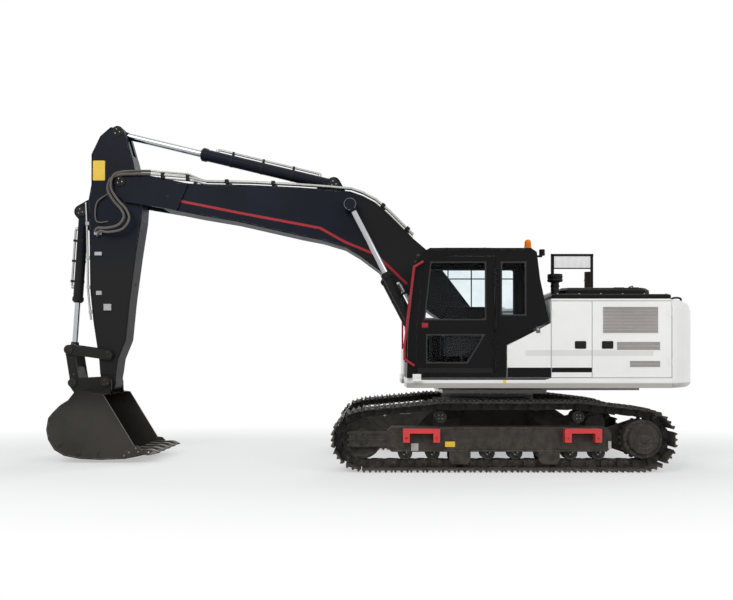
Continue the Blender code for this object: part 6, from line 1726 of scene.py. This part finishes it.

# %% [markdown]
# ## Cylinders and hoses
#
# A hydraulic cylinder shows a polished chrome rod, a bolted gland where the rod goes in,
# welded ports, and a steel pipe held along the barrel by straps. The hoses between boom
# and arm have to bend when the arm moves. They cross the pin in a loop, and each is laid
# in world space without a body.

# %% Cylinders and hoses
CYLINDERS = (
    # body, foot, eye, barrel length, barrel radius, rod radius, Y
    ("boom_cylinder_barrels", LIFT_FOOT, LIFT_EYE, 1.63, 0.075, 0.0425, -0.375),
    ("boom_cylinder_barrels", LIFT_FOOT, LIFT_EYE, 1.63, 0.075, 0.0425, 0.375),
    ("arm_cylinder_barrel", CROWD_FOOT, CROWD_EYE, 1.99, 0.085, 0.05, 0.0),
    ("bucket_cylinder_barrel", DIG_FOOT, LINK_PIN, 1.30, 0.070, 0.04, 0.0),
)
STRAP_SHARES = (0.32, 0.55, 0.78)
PORT_BACK, PORT_AHEAD = 0.24, 0.20
EYE_RADIUS = 0.0865
ROD_EYES = (
    # body, eye, half its width, places across, the cylinder's foot
    ("boom_cylinder_rods", LIFT_EYE, 0.0465, (-0.375, 0.375), LIFT_FOOT),
    ("arm_cylinder_rod", CROWD_EYE, 0.0615, (0.0,), CROWD_FOOT),
    ("bucket_cylinder_rod", LINK_PIN, 0.0715, (0.0,), DIG_FOOT),
)
HOSES = (
    # radius, then the places by pixel and depth
    (0.021, ((151, 174, -0.252), (132, 174, -0.262), (118, 175, -0.268), (110, 180, -0.275),
             (108, 190, -0.275), (114, 201, -0.280), (121, 209, -0.280), (124, 217, -0.275),
             (118, 225, -0.262), (107, 228, -0.245), (98, 228, -0.222), (95, 231, -0.190))),
    (0.018, ((151, 171, -0.2155), (134, 171, -0.228), (121, 172, -0.262), (113, 176, -0.298),
             (111, 188, -0.312), (118, 200, -0.318), (126, 209, -0.318), (129, 219, -0.312),
             (122, 229, -0.290), (108, 232, -0.262), (100, 231, -0.235), (97, 236, -0.190))),
)


def make_cylinder(number, body, foot, eye, length, radius, rod, y):
    glands, ports, straps = forms(3)
    way = (eye - foot).normalized()
    ahead = Vector((way.x, 0, way.y))
    outward = Vector((-1, 0, 0)) if body == "bucket_cylinder_barrel" else UP
    up = (outward - ahead * outward.dot(ahead)).normalized()
    start = Vector((foot.x, y, foot.y))

    def at(reach, stand=0.0):
        return start + ahead * reach + up * stand

    long, wide = radius * 0.75, radius * 1.125 + 0.002
    turned(glands, at(length - long - 0.004), ahead,
           ((0, radius + 0.002), (0.002, wide), (long + 0.004, wide),
            (long + 0.007, radius + 0.004), (long + 0.020, radius - 0.004),
            (long + 0.024, radius - 0.012), (long + 0.024, rod + 0.008),
            (long + 0.030, rod + 0.006), (long + 0.030, rod + 0.001)), 40)
    for i in range(8):
        angle = math.pi * i / 4
        spoke = up * math.cos(angle) + ahead.cross(up) * math.sin(angle)
        turned(straps, at(length + 0.0185) + spoke * (radius * 0.72), ahead,
               ((0, 0.008), (0.008, 0.008), (0.010, 0.006)), 6)
    for reach in (PORT_BACK, length - PORT_AHEAD):
        turned(ports, at(reach, radius - 0.008), up,
               ((0, 0.026), (0.030, 0.026), (0.032, 0.022), (0.044, 0.022), (0.046, 0.0)), 18)
    stand = radius + 0.034
    route = [at(PORT_BACK, radius + 0.020), at(PORT_BACK + 0.03, stand),
             at(PORT_BACK + 0.12, stand), at(length - PORT_AHEAD - 0.14, stand),
             at(length - PORT_AHEAD - 0.04, stand), at(length - PORT_AHEAD, radius + 0.020)]
    tube(ports, curve_through(route, 4), 0.017, 14)
    turn, half = up.to_track_quat("Z", "Y").to_matrix(), Vector((0.022, 0.016, 0.024))
    for share in STRAP_SHARES:
        reach = share * length
        hoop(straps, at(reach - 0.016), ahead, radius - 0.001, radius + 0.004, 0.032)
        block = at(reach, stand - 0.006)
        slab(straps, block - half, block + half, turn)
    name = "%s_%s" % (body, number)
    piece(name + "_gland", glands, boom_paint, body, 0.0)
    piece(name + "_ports", ports, zinc, body, 0.0)
    piece(name + "_straps", straps, black_plastic, body, 0.001)


def make_hoses():
    """Each hose follows its route in the photograph and loops from boom to arm, tied to no body.
    """
    blended = []
    for number, (radius, route) in enumerate(HOSES):
        for side in (-1, 1):
            shape = bmesh.new()
            spots = []
            for px, py, y in route:
                spot = seen(px, py, y)
                spots.append(Vector((spot.x, -side * spot.y, spot.z)))
            tube(shape, curve_through(spots, 7), radius, 14)
            name = "arm_hose_%d_%s" % (number, "left" if side > 0 else "right")
            hose = piece(name, shape, hose_rubber, sharp=180)
            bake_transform(hose)
            blended.append(name)
    return blended


def make_rod_eyes():
    """The painted eye and neck at the end of each rod."""
    radius = EYE_RADIUS
    for body, eye, half, rows, foot in ROD_EYES:
        shape = bmesh.new()
        back = (foot - eye).normalized()
        for y in rows:
            turned(shape, Vector((eye.x, y - half, eye.y)), (0, 1, 0),
                   ((0, radius - 0.03), (0, radius - 0.006), (0.005, radius),
                    (2 * half - 0.005, radius), (2 * half, radius - 0.006),
                    (2 * half, radius - 0.03)), 32)
            start = Vector((eye.x, y, eye.y)) + Vector((back.x, 0, back.y)) * (radius - 0.012)
            turned(shape, start, (back.x, 0, back.y),
                   ((0, 0.056), (0.030, 0.056), (0.040, 0.052), (0.040, 0.045)), 28)
        piece(body + "_eye", shape, boom_paint, body, 0.0)


for number, values in enumerate(CYLINDERS):
    make_cylinder(number, *values)
make_rod_eyes()
hoses = make_hoses()
print("hoses:", hoses)

# %% [markdown]
# ## The arm and its linkage
#
# The arm is a narrower box with the same welds. A blank yellow plate sits at its head, steel
# pipes run down its front to the bucket cylinder, and light clamps hold them. A thin hose
# loops from its flank near the top. The links at its foot are thick plates round greased
# pins, so each pin gets a cap and its bolts.

# %% Arm details
ARM_DEG, ARM_LENGTH, ARM_HALF = -86.0, 2.92, 0.165
ARM_FRONT = ((-0.271, 0.075), (-0.223, 0.123), (-0.130, 0.160), (0.021, 0.150),
             (0.110, 0.160), (0.238, 0.145), (0.546, 0.119), (0.694, 0.094),
             (0.891, 0.050))
ARM_REAR = ((0.880, -0.045), (0.782, -0.077), (0.582, -0.083), (0.361, -0.097),
            (0.180, -0.112), (0.110, -0.112), (0.031, -0.090), (-0.115, -0.049),
            (-0.232, -0.006))
ARM_PLATE_PX = ((92.8, 160.6), (105.0, 180.4))
FLANK_CLAMPS_PX = ((94.5, 231.0, 102.0, 235.0), (95.0, 252.0, 102.0, 255.5),
                   (96.5, 291.0, 102.0, 295.0), (104.0, 304.0, 111.5, 310.5))
PIPE_CLAMP_SHARES, PIPE_FLANK = (0.18, 0.47, 0.72, 0.93), 0.130
ARM_PINS = (
    # pin, radius of its plate, how far out the plate stands
    (CROWD_EYE, 0.060, 0.173), (DIG_FOOT, 0.058, 0.135),
)
PIN_CAPS = (
    # name, body, then pins and how far out each cap stands
    ("tipping_pin_caps", "tipping_links", ((TIPPING, 0.233), (LINK_PIN, 0.233))),
    ("bucket_pin_caps", "bucket", ((BUCKET_PIN, 0.282), (EAR_PIN, 0.282))),
)
LOOP_HOSE_PX = ((108, 193), (103, 197), (98, 201), (95.6, 207), (95.2, 215), (96.4, 221),
                (101, 222.5), (107, 221))


def on_arm(u, v, stand=0.0):
    return along(ARM_PIN, ARM_DEG, u * ARM_LENGTH, v * ARM_LENGTH + stand)


def make_arm_details():
    seams, pipes, clamps, heads = forms(4)
    caps, yellow, blocks, loops = forms(4)
    (left, high), (right, low) = ARM_PLATE_PX
    front_run = [on_arm(u, v, 0.045) for u, v in ARM_FRONT[4:8]]
    for side in (-1, 1):
        y = side * (ARM_HALF + 0.001)
        for run, stand in ((ARM_FRONT, -0.018), (ARM_REAR, 0.018)):
            tube(seams, lifted([on_arm(u, v, stand) for u, v in run], y), 0.005, 8)
        tube(pipes, lifted(front_run, side * PIPE_FLANK), 0.015, 14)
        for share in PIPE_CLAMP_SHARES:
            spot = front_run[0].lerp(front_run[-1], share)
            for a, b in zip(front_run, front_run[1:]):
                if b.y <= spot.y <= a.y:
                    spot = a.lerp(b, (a.y - spot.y) / (a.y - b.y))
                    break
            middle = Vector((spot.x, side * PIPE_FLANK, spot.y))
            slab(clamps, middle - Vector((0.012, 0.028, 0.024)),
                 middle + Vector((0.060, 0.028, 0.024)))
            turned(heads, middle - Vector((0.011, 0, 0)), (-1, 0, 0),
                   ((0, 0.009), (0.008, 0.009), (0.010, 0.007)), 6)
        for pin, radius, at in ARM_PINS:
            place = Vector((pin.x, side * at, pin.y))
            turned(caps, place, (0, side, 0),
                   ((-0.004, radius + 0.008), (0.004, radius + 0.008), (0.007, radius),
                    (0.007, 0.018), (0.002, 0.014), (0.002, 0.0)), 28)
            bolt_ring(heads, place + Vector((0, side * 0.007, 0)), (0, side, 0),
                      radius * 0.62, 3, 0.008, 0.007)
        a, b = seen(left, low, -ARM_HALF), seen(right, high, -ARM_HALF)
        corners = rounded([(a.x, a.z), (b.x, a.z), (b.x, b.z), (a.x, b.z)], 0.015)
        plate(yellow, corners, side * (ARM_HALF - 0.0005), side * (ARM_HALF + 0.002))
        for x0, y0, x1, y1 in FLANK_CLAMPS_PX:
            a, b = seen(x0, y1, -ARM_HALF), seen(x1, y0, -ARM_HALF)
            near = sorted((side * (ARM_HALF - 0.001), side * (ARM_HALF + 0.022)))
            slab(blocks, Vector((a.x, near[0], a.z)), Vector((b.x, near[1], b.z)))
        path = [seen(px, py, -ARM_HALF - 0.030) for px, py in LOOP_HOSE_PX]
        path[0].y, path[-1].y = -ARM_HALF + 0.004, -ARM_HALF + 0.004
        for spot in path:
            spot.y *= -side
        tube(loops, curve_through(path, 5), 0.011, 12)
    piece("arm_flank_clamps", blocks, light_grey, "arm", 0.003)
    piece("arm_loop_hose", loops, hose_rubber, "arm", 0.0)
    piece("arm_seams", seams, boom_paint, "arm", 0.0)
    piece("arm_pipes", pipes, zinc, "arm", 0.0)
    piece("arm_clamps", clamps, light_grey, "arm", 0.003)
    piece("arm_bolts", heads, zinc, "arm", 0.0)
    piece("arm_pin_caps", caps, cast_steel, "arm", 0.0)
    piece("arm_blank_plate", yellow, yellow_plate, "arm", 0.0)


def make_link_details():
    for name, body, rows in PIN_CAPS:
        caps = bmesh.new()
        for pin, at in rows:
            for side in (-1, 1):
                place = Vector((pin.x, side * at, pin.y))
                turned(caps, place, (0, side, 0),
                       ((-0.003, 0.063), (0.006, 0.063), (0.010, 0.056), (0.010, 0.020),
                        (0.005, 0.016), (0.005, 0.0)), 28)
                bolt_ring(caps, place + Vector((0, side * 0.010, 0)), (0, side, 0), 0.038,
                          3, 0.008, 0.007)
        piece(name, caps, cast_steel, body, 0.0)
    plugs = bmesh.new()
    for share in (0.25, 0.5, 0.75):
        spot = LINK_PIN.lerp(EAR_PIN, share)
        for side in (-1, 1):
            turned(plugs, Vector((spot.x, side * 0.189, spot.y)), (0, side, 0),
                   ((-0.002, 0.016), (0.003, 0.016), (0.005, 0.010), (0.002, 0.008),
                    (0.002, 0)), 16)
    piece("link_plugs", plugs, cast_steel, "bucket_link", 0.0)


make_arm_details()
make_link_details()
print("arm pin to pin", round((BUCKET_PIN - ARM_PIN).length, 2), "m")

# %% [markdown]
# ## The bucket
#
# A bucket wears, so it is plated where it scrapes: strips along its belly, round pads on
# its cheeks, side cutters bolted at the front edge, and cast teeth that slide over adapters
# and are held by a pin. The teeth are worn bright, the sides are brown, and the ears and
# links above them are black.

# %% Teeth, cutters and wear plates
BUCKET_SIZE, BUCKET_HALF = 1.30, 0.60
BUCKET_SIDE = ((-0.231, -0.077), (-0.309, -0.177), (-0.395, -0.231), (-0.471, -0.306),
               (-0.525, -0.371), (-0.546, -0.499), (-0.525, -0.607), (-0.460, -0.715),
               (-0.352, -0.779), (-0.181, -0.812), (0.035, -0.822), (0.304, -0.812),
               (0.465, -0.779))
TOOTH_COUNT = 5
LIP = (0.465, -0.779)
TOOTH = (
    # reach past the lip, low, high, half width
    (0.085, 0.012, 0.090, 0.041), (0.10, 0.006, 0.094, 0.044), (0.155, 0.012, 0.092, 0.0455),
    (0.20, 0.022, 0.080, 0.043), (0.235, 0.031, 0.062, 0.038), (0.256, 0.0385, 0.051, 0.032),
)
ADAPTER = ((-0.135, 0.075), (-0.10, 0.098), (0.08, 0.086), (0.092, 0.075), (0.092, 0.018),
           (-0.02, 0.014), (-0.10, 0.022))
CUTTER = ((0.510, -0.735), (0.450, -0.672), (0.395, -0.665), (0.300, -0.735), (0.262, -0.800),
          (0.452, -0.768))
CUTTER_BOLTS = ((0.425, -0.695), (0.45, -0.735), (0.35, -0.74), (0.30, -0.775))
CHEEK_PADS = ((-0.40, -0.66), (-0.20, -0.755), (0.02, -0.765))
STRIP_ROWS = (-0.36, 0.0, 0.36)


def on_bucket(x, z):
    return Vector((BUCKET_PIN.x + x * BUCKET_SIZE, BUCKET_PIN.y + z * BUCKET_SIZE))


def make_teeth():
    teeth, adapters, keepers = forms(3)
    lip = on_bucket(*LIP)
    for i in range(TOOTH_COUNT):
        y = (BUCKET_HALF - 0.045) * (2 * i / (TOOTH_COUNT - 1) - 1)
        rings = []
        for reach, low, high, half in TOOTH:
            x, z0, z1 = lip.x + reach, lip.y + low, lip.y + high
            rings.append([Vector((x, y - half, z0)), Vector((x, y + half, z0)),
                          Vector((x, y + half * 0.82, z1)), Vector((x, y - half * 0.82, z1))])
        skin(teeth, rings)
        plate(adapters, [(lip.x + x, lip.y + z) for x, z in ADAPTER], y - 0.034, y + 0.034)
        turned(keepers, Vector((lip.x + 0.118, y - 0.050, lip.y + 0.050)), (0, 1, 0),
               ((0, 0.010), (0.003, 0.014), (0.097, 0.014), (0.100, 0.010)), 16)
    piece("bucket_teeth", teeth, tooth_steel, "bucket", 0.004)
    piece("tooth_adapters", adapters, digging_paint, "bucket", 0.005)
    piece("tooth_pins", keepers, zinc, "bucket", 0.0)


def make_wear_plates():
    strips, cutters, heads, pads = forms(4)
    run = [on_bucket(x, z) for x, z in BUCKET_SIDE[5:13]]
    for y in STRIP_ROWS:
        outer, inner = [], []
        for i, spot in enumerate(run):
            way = (run[min(i + 1, len(run) - 1)] - run[max(i - 1, 0)]).normalized()
            out = Vector((way.y, -way.x))
            outer.append(spot + out * 0.010)
            inner.append(spot - out * 0.004)
        rings = [[Vector((a.x, y - 0.05, a.y)), Vector((a.x, y + 0.05, a.y)),
                  Vector((b.x, y + 0.05, b.y)), Vector((b.x, y - 0.05, b.y))]
                 for a, b in zip(outer, inner)]
        skin(strips, rings)
    for side in (-1, 1):
        face = side * BUCKET_HALF
        near = face - side * 0.001
        plate(cutters, [on_bucket(x, z) for x, z in CUTTER], near, near + side * 0.018)
        for x, z in CUTTER_BOLTS:
            spot = on_bucket(x, z)
            turned(heads, Vector((spot.x, face + side * 0.016, spot.y)), (0, side, 0),
                   ((0, 0.014), (0.009, 0.014), (0.011, 0.010)), 6)
        for x, z in CHEEK_PADS:
            spot = on_bucket(x, z)
            turned(pads, Vector((spot.x, face - side * 0.002, spot.y)), (0, side, 0),
                   ((0, 0.036), (0.009, 0.035), (0.012, 0.030), (0.012, 0.0)), 28)
        rim = [on_bucket(x, z).lerp(on_bucket(-0.10, -0.45), 0.035) for x, z in BUCKET_SIDE]
        tube(strips, lifted(rim, face + side * 0.0005), 0.006, 8)
        root = [on_bucket(-0.300, -0.180), on_bucket(0.062, -0.130)]
        tube(strips, lifted(root, side * 0.267), 0.007, 8)
    piece("bucket_wear_strips", strips, digging_paint, "bucket", 0.0)
    piece("side_cutters", cutters, digging_paint, "bucket", 0.003)
    piece("cutter_bolts", heads, tooth_steel, "bucket", 0.0)
    piece("cheek_pads", pads, cast_steel, "bucket", 0.0)


make_teeth()
make_wear_plates()
two_tone_and_painted_shade(digging_paint, rgb(0.0085, 0.0080, 0.0075), 2, 0.72, 1.0)
print("teeth:", TOOTH_COUNT)
